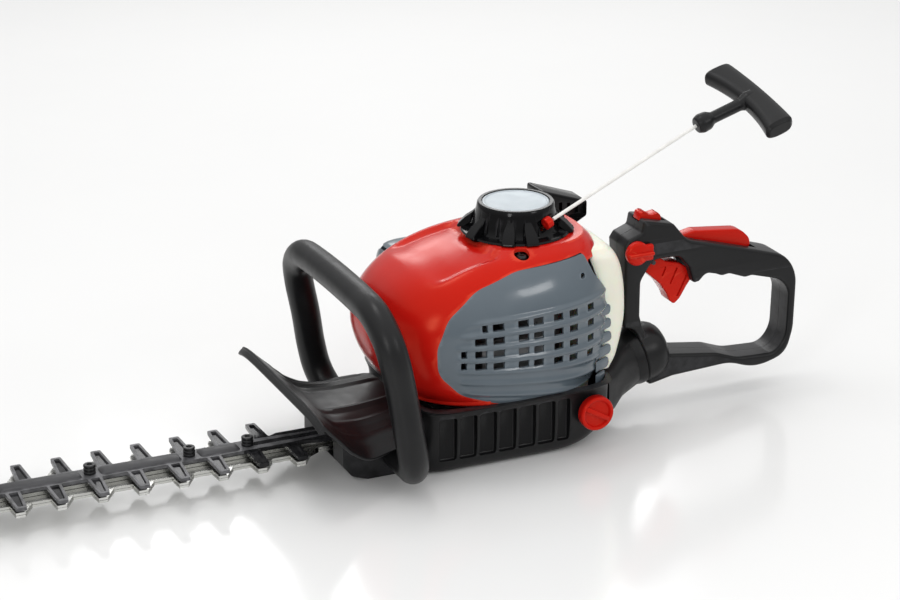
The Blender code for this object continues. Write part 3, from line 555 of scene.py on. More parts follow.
COVER_LEVELS = ((64.3, -116, 66, 80), (80, -132, 72, 85), (98, -142, 76, 88), (120, -147, 78, 88),
                (140, -143, 78, 86), (158, -131, 74, 80), (172, -113, 69, 72), (183, -88, 64, 62),
                (COVER_TOP_Z, -56, 57, 51))
TOP_VENT_Z = 137.3
SIDE_COVER_OUTLINE = ((66, 66, 4), (0, 60, 60), (-52, 64, 40), (-86, 76, 30), (-107, 98, 25),
                      (-108, 122, 25), (-98, 146, 30), (-71, 167, 40), (-32, 178, 60), (36, 181, 4),
                      (62, 142, 4), (68, 120, 4))


def vent_pitch(x):
    """The height from one row of vents to the next, which grows toward the rear."""
    return 10.6 + 0.0267 * (x + 86)


def vent_row(x, z):
    """Which row of vents a point is on: 0 is the top one, and ribs lie half-way between rows."""
    return (TOP_VENT_Z - z) / vent_pitch(x)


def cover_surface(name, relief=None, grow=0.0, closed_top=False, steps=7, count=144):
    """The engine's smooth hood, down from the starter's hole."""
    rings = level_rings(splined(COVER_LEVELS, steps), 2.5, grow, count)
    if closed_top:
        rings.append([(x, y, COVER_TOP_Z + grow + 0.2) for x, y, z in rings[-1]])
    else:
        hole = superellipse(-STARTER_HOLE_RADIUS, STARTER_HOLE_RADIUS, STARTER_HOLE_RADIUS,
                            COVER_TOP_Z + 0.5, 2.0, count)
        edge = rings[-1]
        for share in (0.25, 0.5, 0.75, 1.0):
            rings.append([tuple(a + (b - a) * share for a, b in zip(outer, inner))
                          for outer, inner in zip(edge, hole)])
    if relief:
        rings = [[relief(*point) for point in ring] for ring in rings]
    return loft(name, rings, capped=closed_top)


def thickened(shell, thickness=WALL):
    """Gives a sheet a thickness inward and turns its faces outward."""
    modifier = shell.modifiers.new("thickness", "SOLIDIFY")
    modifier.thickness = thickness * MM
    modifier.offset = -1.0
    body = settled(shell)
    bm = bmesh.new()
    bm.from_mesh(body.data)
    bmesh.ops.recalc_face_normals(bm, faces=bm.faces)
    bm.to_mesh(body.data)
    bm.free()
    return body


def red_relief(x, y, z):
    """Sinks the channel that leads to the starter between two ridges."""
    across = smoothstep(52, 42, abs(y + 3))
    along = smoothstep(-112, -84, x) * smoothstep(-38, -44, x)
    high = smoothstep(166, 178, z)
    return x, y, z - 5.0 * across * along * high


def make_engine_cover():
    """The red hood, open for the two side covers and for the tank at its back, and its bottom lip."""
    cover = thickened(cover_surface("cover", red_relief))
    near = plate("near_opening", rounded(SIDE_COVER_OUTLINE), -140, -20, "XZ")
    far = plate("far_opening", rounded([(-92, 92, 8), (-16, 92, 8), (-16, 156, 8), (-92, 156, 8)]),
                30, 140, "XZ")
    rear = block("rear_opening", (42, -140, -20), (220, 19, 174))
    x, y = COVER_SCREW
    recess = rod("screw_recess", (x, y, 160), (x, y, 200), 6.0, end_radius=7.2)
    pin = rod("pin_recess", (34, -56, 160), (40, -70, 190), 3.0)
    cover = cut(cover, near, far, rear, recess, pin)
    piece(bevelled(cover, 1.0), "red_engine_cover", "chassis", "red_plastic", ["engine_cover"])
    lip = superellipse(-118, 66.5, 80.5, 66.0, 2.5)
    section = ((0.97, 63.9), (1.0, 63.9), (1.012, 65.2), (1.012, 67.6), (1.0, 69.0), (0.97, 69.0),
               (0.97, 63.9))
    rim = loft("rim", [[(x * share, y * share, z) for x, y, _ in lip] for share, z in section], capped=False)
    rim = cut(rim, block("rim_rear", (34, -140, -20), (220, 140, 100)),
              block("rim_near", (-60, -140, -20), (220, 0, 100)))
    piece(rim, "red_cover_lip", "chassis", "red_plastic")


def louvre_relief(x, y, z):
    """Level ribs between the rows of vents, fading out at the panel's ends."""
    row = vent_row(x, z)
    end = smoothstep(-0.85, -0.45, row) * smoothstep(6.1, 5.6, row)
    left = -92 + 6.0 * max(0.0, 1.2 - row) ** 2 + 2.5 * max(0.0, row - 3.5) ** 2
    side = smoothstep(left - 3, left + 5, x)
    wave = 0.5 - 0.5 * math.cos(2 * math.pi * row)
    lift = (2.2 * wave ** 2 - 0.7) * end * side if y < 0 else 0.0
    return x, y - lift, z


def scalloped_outline():
    """The side cover's outline, with a lobe for each rib's end on its rear edge."""
    outline = []
    rear_x, lobe_depth, lobes = 62.0, 6.0, 5
    pitch = vent_pitch(rear_x)
    for rib in range(lobes, 0, -1):
        middle = TOP_VENT_Z - pitch * (rib - 0.5)
        for step in range(9):
            angle = math.radians(-90 + 180 * step / 8)
            outline.append((rear_x + lobe_depth * math.cos(angle), middle + 0.46 * pitch * math.sin(angle)))
    return [*outline, *rounded(((63.5, 141.5, 2), (46, 162, 14), (38, 180, 4), (-32, 178, 60),
                                (-71, 167, 40), (-98, 146, 30), (-108, 122, 25), (-107, 98, 25),
                                (-86, 76, 30), (-52, 64, 40), (0, 60, 60), (56, 62.5, 4)))]


def vent_boxes():
    """Cutters for the vents: each column's middle, width and rows."""
    columns = ((-86.5, 5, (2, 3)), (-72, 10.5, (1, 2, 3)), (-68, 5, (0,)), (-56, 10.5, (0, 1, 2, 3)),
               (-33, 10, (0, 1, 2, 3)), (-18.7, 9.5, (0, 1, 2, 3)), (1, 9.5, (0, 1, 2, 3)),
               (17, 9, (0, 1, 2, 3)), (37, 7.5, (0, 1, 2, 3)))
    for x, width, rows in columns:
        for row in rows:
            z = TOP_VENT_Z - vent_pitch(x) * row
            yield (x - width / 2, -120, z - 3.2), (x + width / 2, -58, z + 3.2)


def make_side_cover():
    """The vented panel, and the loose-looking round ends of its ribs on the rear edge."""
    cover = thickened(cover_surface("side", louvre_relief, steps=20, count=220), 2.6)
    patch = plate("patch", scalloped_outline(), -140, -20, "XZ")
    cover = boolean(cover, "INTERSECT", [patch])
    cover = cut(cover, blocks("vents", vent_boxes()), rod("pin", (31, -90, 163), (33, -40, 166), 2.4))
    piece(bevelled(cover, 0.5, 2, 50), "grey_side_cover", "chassis", "grey_plastic", ["side_cover"])
    for number in range(1, 7):
        middle = 138.6 - 13.1 * number + 0.09 * number ** 2
        half = 4.9
        start, end = Vector((48.0, -64.6)), Vector((65.0 - 0.45 * (number - 2.3) ** 2, -56.2))
        along = (end - start).normalized()
        rings = []
        for step in range(19):
            t = step / 18
            spot = start + (end + along * 4.5 - start) * t
            round_end = math.sqrt(max(1 - max((t - 0.74) / 0.26, 0) ** 2, 0.02))
            thick = 1.9 * round_end * smoothstep(-0.1, 0.35, t)
            ring = superellipse(-half * round_end, half * round_end, thick, 0, 2.6, 40)
            rings.append([(spot.x + out * along.y, spot.y - out * along.x, middle + up)
                          for up, out, _ in ring])
        piece(loft("tab", rings), f"louvre_end_{number}", "chassis", "grey_plastic")


def make_filter_cover():
    """A ribbed box with soft corners over the air filter."""
    rings = []
    for y, inset in ((60, 0), (84, 0), (90, 1), (94, 3.2), (97, 8), (98, 16), (98, 36)):
        ring = superellipse(-96 + inset, -8 - inset, (164 - 84) / 2 - min(inset, 32), 0, 5.0, 96)
        rings.append([(x, y, 124 + z) for x, z, _ in ring])
    shell = loft("filter", rings)
    inside = cover_surface("seat", grow=0.4, closed_top=True)
    hollow = block("hollow", (-91.5, 40, 88.5), (-12.5, 94.5, 159.5))
    grooves = blocks("grooves", [((x, 95.6, 98), (x + 3, 110, 150)) for x in (-78, -70, -62, -43, -35, -27)])
    shell = cut(shell, hollow, inside, grooves)
    piece(bevelled(shell, 0.8, 2), "grey_filter_cover", "chassis", "grey_plastic", ["filter_cover"])


# ---------------------------------------------------------------- recoil starter

def around(radius, angle, z, across=0.0):
    """A point at an angle round the crankshaft, moved sideways by across."""
    return (radius * math.cos(angle) - across * math.sin(angle),
            radius * math.sin(angle) + across * math.cos(angle), z)


def make_starter_cap():
    """The drum that the cord leaves by a hole, with flutes down its side except round that hole."""
    skin = [(36, 191.0), (48, 191.0), (47, 192.4), (40, 193.4), (37.8, 196), (37.0, 200), (35.6, 206),
            (34.2, 212), (33.6, 215.2), (32.6, 216.6), (29.8, 216.6), (29.8, 214.4), (2, 214.4), (2, 211),
            (30, 211), (32, 206), (34, 200), (36, 191.0)]
    flutes = [rod(f"flute_{degrees}", around(35.2, math.radians(degrees), 214.2),
                  around(38.6, math.radians(degrees), 194.5), 1.4, 12)
              for degrees in range(5, 365, 18) if abs(degrees - 302) > 20]
    hole = rod("hole", CORD_EXIT - CORD_DIRECTION * 16, CORD_EXIT + CORD_DIRECTION * 8, 5.6)
    housing = cut(turned("housing", skin, (0, 0, 0)), hole, *flutes)
    piece(bevelled(housing, 0.5, 2), "starter_cap", "chassis", "gloss_black_plastic", ["starter_housing"])


def make_starter_feet():
    """Feet stand every 45 degrees, but one is moved away from the cord's hole."""
    profile = ((34.5, 206, 208, 3.2), (38.5, 196, 204, 5.2), (44, 192.2, 200, 6.4),
               (49.5, 191.2, 194.6, 6.6), (51, 191.2, 192.6, 5.2))
    for number, degrees in enumerate((12, 57, 102, 147, 192, 237, 262, 327), 1):
        angle = math.radians(degrees)
        rings = [[around(radius, angle, low, -half), around(radius, angle, low, half),
                  around(radius, angle, high, half * 0.8), around(radius, angle, high, -half * 0.8)]
                 for radius, low, high, half in profile]
        foot = loft(f"foot_{number}", rings)
        piece(bevelled(foot, 0.9, 3), f"starter_foot_{number}", "chassis", "gloss_black_plastic")


def make_starter_trim():
    """The cord's bezel, the screw in the hood's recess and the plain disc on top."""
    bezel = softened([(1.9, -3.4), (4.4, -2.4), (5.2, -3.4), (5.2, -9), (1.9, -9), (1.9, -3.4)], 0.4)
    bezel = turned("bezel", bezel, CORD_EXIT - CORD_DIRECTION * GAP, CORD_DIRECTION, 48)
    piece(bezel, "cord_bezel", "chassis", "red_plastic", ["cord_eyelet"])
    screw = softened([(0, 172), (2.5, 172), (2.5, 183), (4.4, 183), (4.4, 185), (3.6, 186.4), (1.8, 186.6),
                      (1.8, 185), (0, 185)], 0.4)
    screw = turned("screw", screw, (*COVER_SCREW, 0), steps=32)
    piece(screw, "recessed_cover_screw", "chassis", "dark_steel", ["cover_screw"])
    disc = softened([(0, 214.7), (29.3, 214.7), (29.3, 215.9), (27.6, 216.3), (26.6, 215.6),
                     (0, 215.9)], 0.5)
    piece(turned("disc", disc, (0, 0, 0)), "starter_disc", "chassis", "badge_metal", ["starter_badge"])


def make_intake_hood():
    """The slotted air scoop that rests on the red hood behind the starter."""
    side = rounded([(42, 208, 3), (89, 192, 3), (89, 178, 4), (78, 172, 4), (44, 178, 3)])
    hood = plate("hood", side, 36, 66, "XZ", rounding=2.2)
    slots = blocks("slots", [((84 - 8 * k, 33, 181 + 1.4 * k), (87.5 - 8 * k, 39, 190 + 1.4 * k))
                             for k in range(5)])
    mouth = block("mouth", (70, 40, 181), (95, 62, 187))
    hood = cut(hood, cover_surface("seat", grow=0.5, closed_top=True), slots, mouth)
    piece(bevelled(hood, 0.5, 2), "intake_cowl", "chassis", "gloss_black_plastic", ["intake_hood"])


# ---------------------------------------------------------------- base, tank and cap

BASE_LEVELS = ((0, -114, 20, 56), (3, -117, 40, 62), (10, -119, 53, 66), (20, -119.5, 62, 68),
               (32, -119.5, 67, 69), (56.5, -119.5, 68, 70), (64, -119.5, 66, 82))


def make_base():
    """The open tray under the engine, with a row of pockets in each side; their floors take the darker gloss
    black as painted shade inside the pockets.
    """
    rings = level_rings(splined(BASE_LEVELS, 4), 7.0)
    sole = [(x * 0.985 - 0.7, y * 0.97, 0.0) for x, y, _ in rings[0]]
    chamfer = [(x, y, 0.9) for x, y, _ in rings[0]]
    base = loft("base", [sole, chamfer, *rings[1:]])
    cavity = loft("cavity", level_rings(((3.6, -108, 18, 50), (12, -114, 44, 56), (22, -115, 56, 57),
                                         (50, -115, 63, 58), (80, -115.5, 63.5, 92)), 7.0))
    pockets = []
    for side in (-1, 1):
        for pocket in range(7):
            left = -102.5 + 18.7 * pocket
            right = min(left + 16.1, 21.5)
            near, far = sorted((side * 62.5, side * 90))
            pockets.append(bevelled(block(f"pocket_{side}_{pocket}", (left, near, 13), (right, far, 53)),
                                    2.2, 3))
    x, y, z = FUEL_CAP_CENTRE
    base = cut(base, cavity, block("yoke_window", (-130, -23, 12), (-100, 23, 32)), *pockets,
               rod("filler_hole", (x, -90, z), (x, -50, z), 11.6))
    base = piece(bevelled(base, 0.8, 2, 40), "black_base", "chassis", "black_plastic", ["base_chassis"])
    base.data.materials.append(MATERIALS["gloss_black_plastic"])
    # Painted shade: the pockets' floors get the darker gloss black so that the pockets look deep and
    # shadowed.
    for face in base.data.polygons:
        if abs(face.normal.y) > 0.9 and 62 * MM < abs(face.center.y) < 63 * MM:
            face.material_index = 1


def make_tank():
    """A foot in the base and a tall back behind the hood, whose inner face it follows."""
    foot = loft("tank", level_rings(((20, 36, 48, 42), (45, 36, 54, 44), (62, 36, 56, 43)), 6.0))
    levels = ((66, 50, 76, 50), (80, 44, 82, 55), (110, 40, 88.5, 58), (136, 40, 88.5, 58),
              (152, 40, 86.5, 57), (163, 40, 83.5, 56), (172, 40, 78.5, 54), (178, 42, 72, 49))
    rings = level_rings(splined(levels, 6), 3.0)
    rings.append([(57 + (x - 57) * 0.8, y * 0.92, 178.8) for x, y, z in rings[-1]])
    back = cut(loft("back", rings), cover_surface("seat", grow=-WALL - GAP, closed_top=True),
               block("hood_room", (40, 35.4, 171.4), (95, 70, 200)))
    x, y, z = FUEL_CAP_CENTRE
    tank = join(foot, block("riser", (40, -17, 55), (60, 17, 75)),
                block("throat", (50, -16, 67), (74, 16, 120)), back,
                rod("neck", (x, -67, z), (x, -38, z), 8.0))
    piece(bevelled(tank, 1.5, 3, 45), "white_tank", "chassis", "tank_plastic", ["fuel_tank"])


def make_fuel_cap():
    """A round cap with a raised rim and a slanting grip across its dished face."""
    r = FUEL_CAP_RADIUS
    profile = softened([(0, 0), (r, 0), (r, 6.5), (r - 1, 8), (r - 3.2, 8), (r - 4.2, 5), (0, 5)], 0.9)
    cap = turned("cap", profile, FUEL_CAP_CENTRE, (0, -1, 0))
    grip = bevelled(block("grip", (-r + 3.2, -8.6, -2.2), (r - 3.2, -2, 2.2)), 1.2, 3)
    grip.matrix_world = turn_at(FUEL_CAP_CENTRE, math.radians(30))
    cap = join(cap, settled(grip))
    piece(bevelled(cap, 0.5, 2), "red_fuel_cap", "cap", "red_plastic", ["fuel_cap"])


# ---------------------------------------------------------------- guard and front handle

def front_handle_path():
    near = [(-134, -45.6, 20), (-134.5, -70, 20), (-139, -94, 26), (-145, -108, 43), (-150, -111, 67),
            (-155, -110, 99), (-161, -109, 130), (-165, -101, 151), (-167, -80, 165), (-167, -50, 168)]
    far = [(x, -y, z) for x, y, z in reversed(near)]
    return splined([*near, (-167, 0, 169), *far], 8)


def make_front_handle():
    handle = welded(tube("handle", front_handle_path(), FRONT_TUBE_RADIUS))
    piece(handle, "front_loop_handle", "chassis", "black_plastic", ["front_handle"])
    head = softened([(0, 2.4), (2, 2.4), (2, 3.4), (4.6, 3.2), (5.2, 1.2), (5.2, -2), (0, -2)], 0.6)
    for name, y in (("near", -98.5), ("far", 79.5)):
        screw = turned("screw", head, (-136.5, y, 33), (0.35, -0.75, 0.55), 32)
        piece(screw, f"handle_screw_{name}", "chassis", "blade_steel")


def guard_row(x_middle, z_middle, x_end, y_end, z_end, power, count=81):
    """The guard's line across the blade, bowed toward its ends, with six ridges behind its front edge."""
    row = []
    for k in range(count):
        t = 2 * k / (count - 1) - 1
        sag = abs(t) ** power
        x = x_middle + (x_end - x_middle) * sag
        back = smoothstep(-222, -196, x) * smoothstep(-121, -130, x)
        ridge = sum(math.exp(-((abs(t) - middle) / 0.035) ** 2) for middle in (0.30, 0.58, 0.80))
        row.append((x, y_end * t, z_middle + (z_end - z_middle) * sag + 1.8 * ridge * back))
    return row


def make_guard():
    """A swept shield in front of the handle, with a thick rolled front edge."""
    rows = ((-223, 84, -222, 96, 79, 6.0), (-207, 69, -207, 95, 62, 5.0), (-194, 59, -192, 89, 46, 4.0),
            (-172, 57, -172, 81, 34, 3.0), (-144, 58, -144, 75, 37, 3.0), (-122, 60, -122, 69, 37, 3.5))
    guard = loft("guard", [guard_row(*row) for row in splined(rows, 7)], closed=False, capped=False)
    guard = thickened(guard)
    piece(bevelled(guard, 1.2, 3, 50), "hand_guard_shell", "chassis", "black_plastic", ["hand_guard"])
    rings = []
    for x, y, z in guard_row(*rows[0], count=61):
        section = superellipse(-2.5, 5.5, 2.2, 0, 3.2, 24)
        rings.append([(x + 2.0 + 0.7 * (thick - deep), y, z - 1.6 - 0.7 * (thick + deep))
                      for deep, thick, _ in section])
    piece(loft("rim", rings), "hand_guard_rim", "chassis", "black_plastic")


# ---------------------------------------------------------------- blade

def near_tooth_x(index):
    return FIRST_NEAR_TOOTH_X - TOOTH_PITCH * index


def tooth_outline(x, side, root_y=SPINE_HALF, reach=TOOTH_REACH, root_half=6.4, tip_half=4.4):
    root_x = x - side * TOOTH_LEAN
    return [(root_x - root_half, side * root_y), (x - tip_half, side * reach),
            (x + tip_half, side * reach), (root_x + root_half, side * root_y)]


def comb_outline():
    """Round the comb: the near teeth toward the tip, then the far ones back, half a pitch on."""
    outline = [(-128.0, 14.0), (-128.0, -14.0), (FIRST_NEAR_TOOTH_X + 24.0, -14.0)]
    for index in range(TEETH_PER_SIDE):
        outline += reversed(tooth_outline(near_tooth_x(index), -1))
    tip = BLADE_TIP_X
    outline += [(tip + 8, -SPINE_HALF), (tip, -4), (tip, 4), (tip + 8, SPINE_HALF)]
    for index in reversed(range(TEETH_PER_SIDE)):
        outline += tooth_outline(near_tooth_x(index) - TOOTH_PITCH / 2, 1)
    outline.append((FIRST_NEAR_TOOTH_X - 4.0, 14.0))
    return outline


def softened_outline(outline, radius):
    return rounded([(x, y, radius) for x, y in outline], 3)


def make_comb():
    """The dark guard comb, dished between the raised rims of each tooth; its first stretch is black, and the
    dishes' floors are painted gloss black as shade in the hollows.
    """
    holes = [circle_outline(x, 0.0, 3.5, 16) for x in (*map(near_tooth_x, BOLT_TEETH), *CARRIER_BOLTS_X)]
    comb = plate("comb", softened_outline(comb_outline(), 1.6), *COMB_Z, holes=holes)
    merged = bmesh.new()
    for index in range(TEETH_PER_SIDE):
        for side, x in ((-1, near_tooth_x(index)), (1, near_tooth_x(index) - TOOTH_PITCH / 2)):
            dish = tooth_outline(x, side, SPINE_HALF + 1.0, TOOTH_REACH - 3.2, 4.0, 2.3)
            dish = plate("dish", softened_outline(dish, 1.2), COMB_Z[1] - 1.9, COMB_Z[1] + 2)
            merged.from_mesh(dish.data)
            bpy.data.objects.remove(dish)
    comb = cut(comb, from_bmesh("dishes", merged))
    comb = piece(bevelled(comb, 0.5, 2, 40), "dark_guard_comb", "chassis", "comb_metal", ["guard_comb"])
    comb.data.materials.append(MATERIALS["gloss_black_plastic"])
    for face in comb.data.polygons:
        dark_end = face.center.x > (near_tooth_x(1) - 9) * MM
        # Painted shade: the flat floors of the dishes take the gloss black too, to darken the hollows.
        painted_shade_dish_floor = face.normal.z > 0.9 and face.center.z < (COMB_Z[1] - 1.0) * MM
        face.material_index = int(dark_end or painted_shade_dish_floor)


def make_comb_ridges():
    """A low round ridge on the spine between each two bolts."""
    stops = [BLADE_TIP_X + 10, *sorted(map(near_tooth_x, BOLT_TEETH))]
    for number, (start, end) in enumerate(zip(stops, stops[1:]), 1):
        low, high = start + 8.5, end - 8.5
        rings = []
        for x, share in ((low, 0.25), (low + 1.5, 0.8), (low + 4, 1), (high - 4, 1), (high - 1.5, 0.8),
                         (high, 0.25)):
            arc = [(x, 7.5 * math.cos(math.pi * k / 12) * (0.7 + 0.3 * share),
                    COMB_Z[1] + 0.05 + 2.6 * share * math.sin(math.pi * k / 12)) for k in range(13)]
            rings.append(arc)
        ridge = loft(f"ridge_{number}", rings)
        piece(ridge, f"comb_ridge_{number}", "chassis", "comb_metal")


def make_bolts():
    """Blade bolts with ribbed heads, each with its nut under the blades."""
    shaft = [(0, 13.5), (2.6, 13.5), (2.6, 30.9), (5.2, 30.9), (5.2, 32.6), (4.7, 33), (4.7, 33.6),
             (5.2, 34), (5.2, 35.6), (4.7, 36), (4.7, 36.6), (5.2, 37), (5.2, 38.4), (4.6, 39),
             (2.4, 39), (2.0, 37.6), (0, 37.6)]
    for number, tooth in enumerate(BOLT_TEETH, 1):
        x = near_tooth_x(tooth)
        bolt = join(turned("bolt", shaft, (x, 0, 0), steps=48),
                    rod("nut", (x, 0, 13.5), (x, 0, 19.2), 5.4, 6))
        piece(bevelled(bolt, 0.25, 2), f"ribbed_blade_bolt_{number}", "chassis", "dark_steel",
              [f"blade_bolt_{number}"])


# ---------------------------------------------------------------- rear handle

HANDLE_OUTLINE = ((127.9, 26, 4), (115.6, 80, 0), (101, 86, 3), (101, 150, 6), (100, 163, 3),
                  (104, 169, 4), (117, 174, 3), (119, 185, 3), (149, 178, 8), (163, 161, 20),
                  (190, 153.5, 40), (236, 140.5, 90), (267, 131, 45), (279.5, 112, 45), (278.5, 58, 45),
                  (272, 33, 45), (240, 24, 45), (212, 34, 45), (152, 31, 20))
HANDLE_WINDOW = ((117, 95, 8), (117, 128, 12), (129, 147, 14), (156, 146, 8), (166, 134, 3), (171, 118, 4),
                 (177, 119, 4), (184, 126, 8), (194, 123.5, 9), (201, 120.5, 9), (208, 121.8, 9),
                 (218, 118, 9), (225, 115.4, 9), (232, 116.4, 9), (262, 108, 40), (272, 96, 40),
                 (271, 50, 40), (260, 36, 40), (220, 38, 40), (198, 46, 30), (150, 53, 8), (131, 63, 6),
                 (121, 82, 8))


def swivel_axis():
    return Vector((math.cos(SWIVEL_TILT), 0, math.sin(SWIVEL_TILT)))


def swivel_ring(distance, radius, count=144):
    centre = Vector(SWIVEL_CENTRE) + swivel_axis() * distance
    up = Vector((-math.sin(SWIVEL_TILT), 0, math.cos(SWIVEL_TILT)))
    circle = superellipse(-radius, radius, radius, 0, 2.0, count)
    return [tuple(centre + Vector((0, 1, 0)) * across + up * rise) for across, rise, _ in circle]


def make_mount():
    """The neck from the base's rear to the ring that the rear handle swivels on."""
    def upright(x, half, low, high, power):
        ring = superellipse(-half, half, (high - low) / 2, 0, power)
        return [(x, across, (low + high) / 2 + up) for across, up, _ in ring]

    mount = loft("mount", [
        upright(68.5, 52, 14, 62, 5.0), upright(80, 45, 16, 63.5, 4.0), upright(94, 34, 20, 71, 3.0),
        swivel_ring(-10, 26.0), swivel_ring(-5, SWIVEL_RADIUS), swivel_ring(-1.2, SWIVEL_RADIUS),
        swivel_ring(-GAP / 2, SWIVEL_RADIUS - 0.9)], sharp=40)
    centre = Vector(SWIVEL_CENTRE)
    mount = cut(mount, rod("bore", centre - swivel_axis() * 30, centre + swivel_axis() * 5, 6.3))
    piece(mount, "handle_neck", "chassis", "black_plastic", ["handle_mount"])


def make_handle_half(name, side, replaced):
    """One half shell of the rear handle: side is -1 for the near one and 1 for the far one."""
    body = plate(name, eased(rounded(HANDLE_OUTLINE, 6)), -REAR_HALF_WIDTH, REAR_HALF_WIDTH, "XZ",
                 holes=[eased(rounded(HANDLE_WINDOW, 6))], rounding=3.2, resolution=4)
    hub = loft(f"{name}_hub", [swivel_ring(distance, radius) for distance, radius in
                               ((GAP / 2, SWIVEL_RADIUS - 0.9), (1.2, SWIVEL_RADIUS), (9, SWIVEL_RADIUS),
                                (14, 26.4), (18, 25.0), (22, 22.6), (25, 19.4), (27, 15.0), (28, 9.0))])
    other_side = block(f"{name}_other", (40, min(0, -side * 80), -20), (320, max(0, -side * 80), 240))
    other_side.location.y = side * GAP / 2 * MM
    slot = block(f"{name}_switch_slot", (-15.8, -6.5, -5), (15.8, 6.5, 12))
    slot.matrix_world = turn_at(SWITCH_CENTRE, SWITCH_SLOPE)
    px, _, pz = TRIGGER_PIVOT
    centre, axis = Vector(SWIVEL_CENTRE), swivel_axis()
    half = join(body, hub)
    half = cut(half, other_side, slot, block(f"{name}_trigger_slot", (121, -8.8, 112), (186, 8.8, 158)),
               block(f"{name}_lockout_slot", (158, -7.0, 126), (240, 7.0, 190)),
               rod(f"{name}_pin", (px, -14, pz), (px, 14, pz), 2.4),
               rod(f"{name}_bore", centre - axis * 3, centre + axis * 18, 6.3))
    if side < 0:
        kx, ky, kz = KNOB_CENTRE
        half = cut(half, rod("knob_hole", (kx, ky - 5, kz), (kx, ky + 8, kz), 4.4))
    piece(bevelled(half, 0.5, 2, 50), name, "rear_handle", "black_plastic", [replaced])


def make_trigger():
    """The curved trigger, with three grooves in each side."""
    px, _, pz = TRIGGER_PIVOT
    side = rounded([(126, 133, 3), (128, 148, 3), (136, 148, 4), (146, 140.5, 8), (160, 137, 12),
                    (169, 131, 8), (175.5, 123.5, 3), (168, 113, 8), (162, 103, 8), (156, 97.5, 3),
                    (151, 102, 6), (148, 109, 12), (141, 119.5, 14)], 5)
    trigger = plate("trigger", side, -8.2, 8.2, "XZ", rounding=1.3)
    slots = []
    for x, z, length, turn in ((144.5, 131, 9, -68), (154.5, 125.5, 16, -66), (164, 116, 24, -64)):
        slot = blocks(f"slot_{length}", [((-length / 2, -20, -0.9), (length / 2, -6.9, 0.9)),
                                         ((-length / 2, 6.9, -0.9), (length / 2, 20, 0.9))])
        slot.matrix_world = turn_at((x, 0, z), math.radians(turn))
        slots.append(slot)
    trigger = cut(trigger, rod("bore", (px, -12, pz), (px, 12, pz), 2.4), *slots)
    piece(bevelled(trigger, 0.3, 2), "red_trigger", "trigger", "red_plastic", ["throttle_trigger"])


def make_lockout():
    top = rounded([(162, 154, 2), (160, 161, 3), (176, 164.5, 6), (223, 159.5, 16), (233, 150, 10),
                   (234.5, 143, 3), (229, 138, 3), (180, 150, 10)], 3)
    lockout = plate("lockout", eased(top), -6.4, 6.4, "XZ", rounding=1.5)
    piece(lockout, "red_lockout", "lockout", "red_plastic", ["throttle_lockout"])


def make_switch():
    """A slide with a finger hollow between two ribbed humps."""
    outline = [(-11, -4.4), (11, -4.4), (11, 0.2), (9.4, 3.2), (6.6, 5.0), (3.6, 3.6), (0.5, 2.2),
               (-2.6, 2.6), (-5.6, 4.4), (-8.4, 4.6), (-11, 2.6)]
    switch = plate("switch", rounded([(x, z, 1.2) for x, z in outline], 3), -5.9, 5.9, "XZ", rounding=0.6)
    grooves = blocks("grooves", [((x, -7, 2.6), (x + 0.8, 7, 8)) for x in (-9.2, -7.2, 5.4, 7.4)])
    switch = cut(switch, grooves)
    switch.data.transform(turn_at(SWITCH_CENTRE, SWITCH_SLOPE))
    piece(switch, "red_stop_switch", "switch", "red_plastic", ["stop_switch"])


def make_knob():
    """The swivel lock's round knob, with a pointer to the rear and a grip across it."""
    kx, ky, kz = KNOB_CENTRE
    profile = softened([(0, -7), (4, -7), (4, 0.3), (11, 0.3), (11, 4.6), (9.2, 6.4), (0, 6.8)], 0.7)
    knob = turned("knob", profile, KNOB_CENTRE, (0, -1, 0), 64)
    pointer = block("pointer", (kx - 2, ky - 6.3, kz - 7.6), (kx + 15.5, ky - 0.6, kz + 7.6))
    grip = block("grip", (kx - 10, ky - 9.2, kz - 1.8), (kx + 14.5, ky - 5, kz + 1.4))
    knob = join(knob, settled(bevelled(pointer, 2.4, 4)), settled(bevelled(grip, 0.9, 3)))
    piece(bevelled(knob, 0.3, 2), "red_lock_knob", "knob", "red_plastic", ["lock_knob"])


# ---------------------------------------------------------------- starter grip and cord

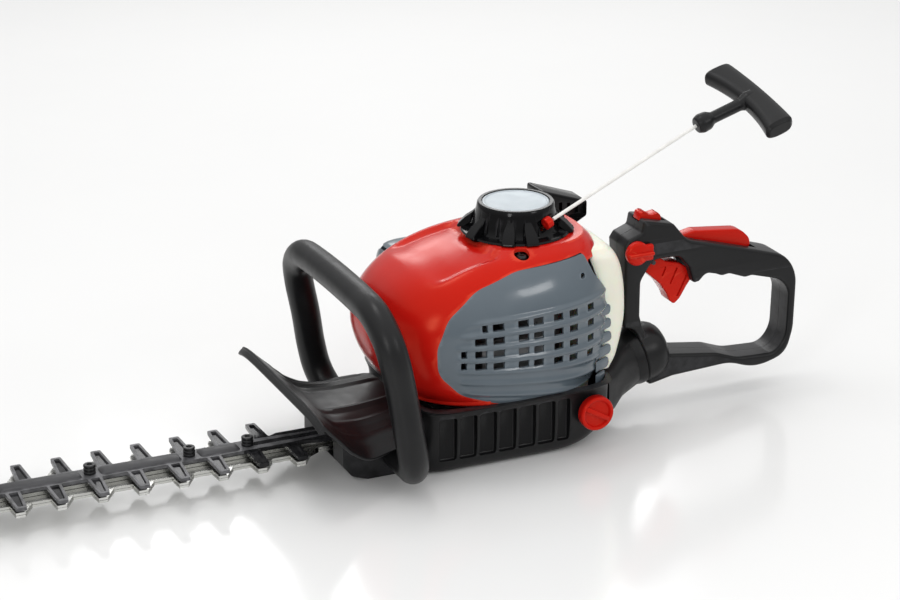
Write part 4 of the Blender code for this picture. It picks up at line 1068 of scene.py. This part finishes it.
def make_grip():
    """The starter's bar, bowed and thicker toward its ends, and the stem that holds the cord."""
    centre = GRIP_CENTRE
    along = (centre - CORD_END).normalized()
    bar = Vector((21.0, -100.0, -23.0))
    bar = (bar - along * bar.dot(along)).normalized()
    thick = bar.cross(along)
    rings = []
    for k in range(33):
        station = -1 + 2 * k / 32
        end = smoothstep(0.93, 1.0, abs(station))
        middle = centre + bar * station * GRIP_LENGTH / 2 - along * 5 * station * station
        half_width = 11.5 + 3.0 * station * station - 3.5 * end
        ring = superellipse(-half_width, half_width, 8.5 - 2.6 * end, 0, 3.0, 48)
        rings.append([tuple(middle + along * a + thick * b) for a, b, _ in ring])
    grip = loft("grip", rings)
    reach = (centre - CORD_END).length
    skin = softened([(2, 0), (7.0, 0), (9.0, 5), (8.5, 12), (5.5, 17), (5.6, reach - 14),
                     (9.0, reach - 6), (9.0, reach)], 1.4)
    stem = turned("stem", [(0, 0), *skin, (0, reach)], CORD_END, along, 64)
    piece(bevelled(grip, 0.8, 3, 40), "pull_bar", "grip", "black_plastic", ["starter_grip"])
    return piece(stem, "pull_stem", "grip", "black_plastic")


def make_cord(stem):
    """The cord runs dead straight from the eyelet to the grip, because it is pulled taut.

    The rest of the cord winds on the pulley inside.
    """
    end = CORD_END - CORD_DIRECTION * GAP
    path = [CORD_EXIT + (end - CORD_EXIT) * k / 20 for k in range(21)]
    cord = welded(tube("pull_cord", path, CORD_RADIUS, 6))
    piece(cord, "pull_cord", "grip", "cord_nylon", ["starter_cord"])
    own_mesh(cord)


# ---------------------------------------------------------------- carried-over CAD nodes

def dress_cad_nodes():
    """Gives every CAD node that still shows its slot's material, and bevels the coarse ones."""
    rounding = {"blade_carrier": 1.6, "upper_blade": 0.25, "lower_blade": 0.25, "guide_bar": 0.3}
    for part in frame["record"]["subparts"]:
        node = NODES[part["node"]]
        node.data.materials.clear()
        node.data.materials.append(MATERIALS[part["material_slot"]])
        if not node.hide_render and node.name in rounding:
            bevelled(node, rounding[node.name], 3, 40)


def make_floor():
    bm = bmesh.new()
    bmesh.ops.create_grid(bm, x_segments=4, y_segments=4, size=6.0)
    floor = from_bmesh("floor", bm)
    floor.location.z = -0.0004
    material = surface((0.86, 0.86, 0.855), (0.85, 0.85, 0.845), 0.16, 0.02, 0.0, patch_scale=3.0)
    material.name = "studio_floor"
    floor.data.materials.append(material)


def main():
    make_camera()
    make_cord(make_grip())
    make_engine_cover()
    make_side_cover()
    make_filter_cover()
    make_starter_cap()
    make_starter_feet()
    make_starter_trim()
    make_intake_hood()
    make_base()
    make_tank()
    make_fuel_cap()
    make_front_handle()
    make_guard()
    make_comb()
    make_comb_ridges()
    make_bolts()
    make_mount()
    make_handle_half("rear_grip_near", -1, "rear_handle_near")
    make_handle_half("rear_grip_far", 1, "rear_handle_far")
    make_trigger()
    make_lockout()
    make_switch()
    make_knob()
    dress_cad_nodes()
    make_floor()
    make_light()


main()
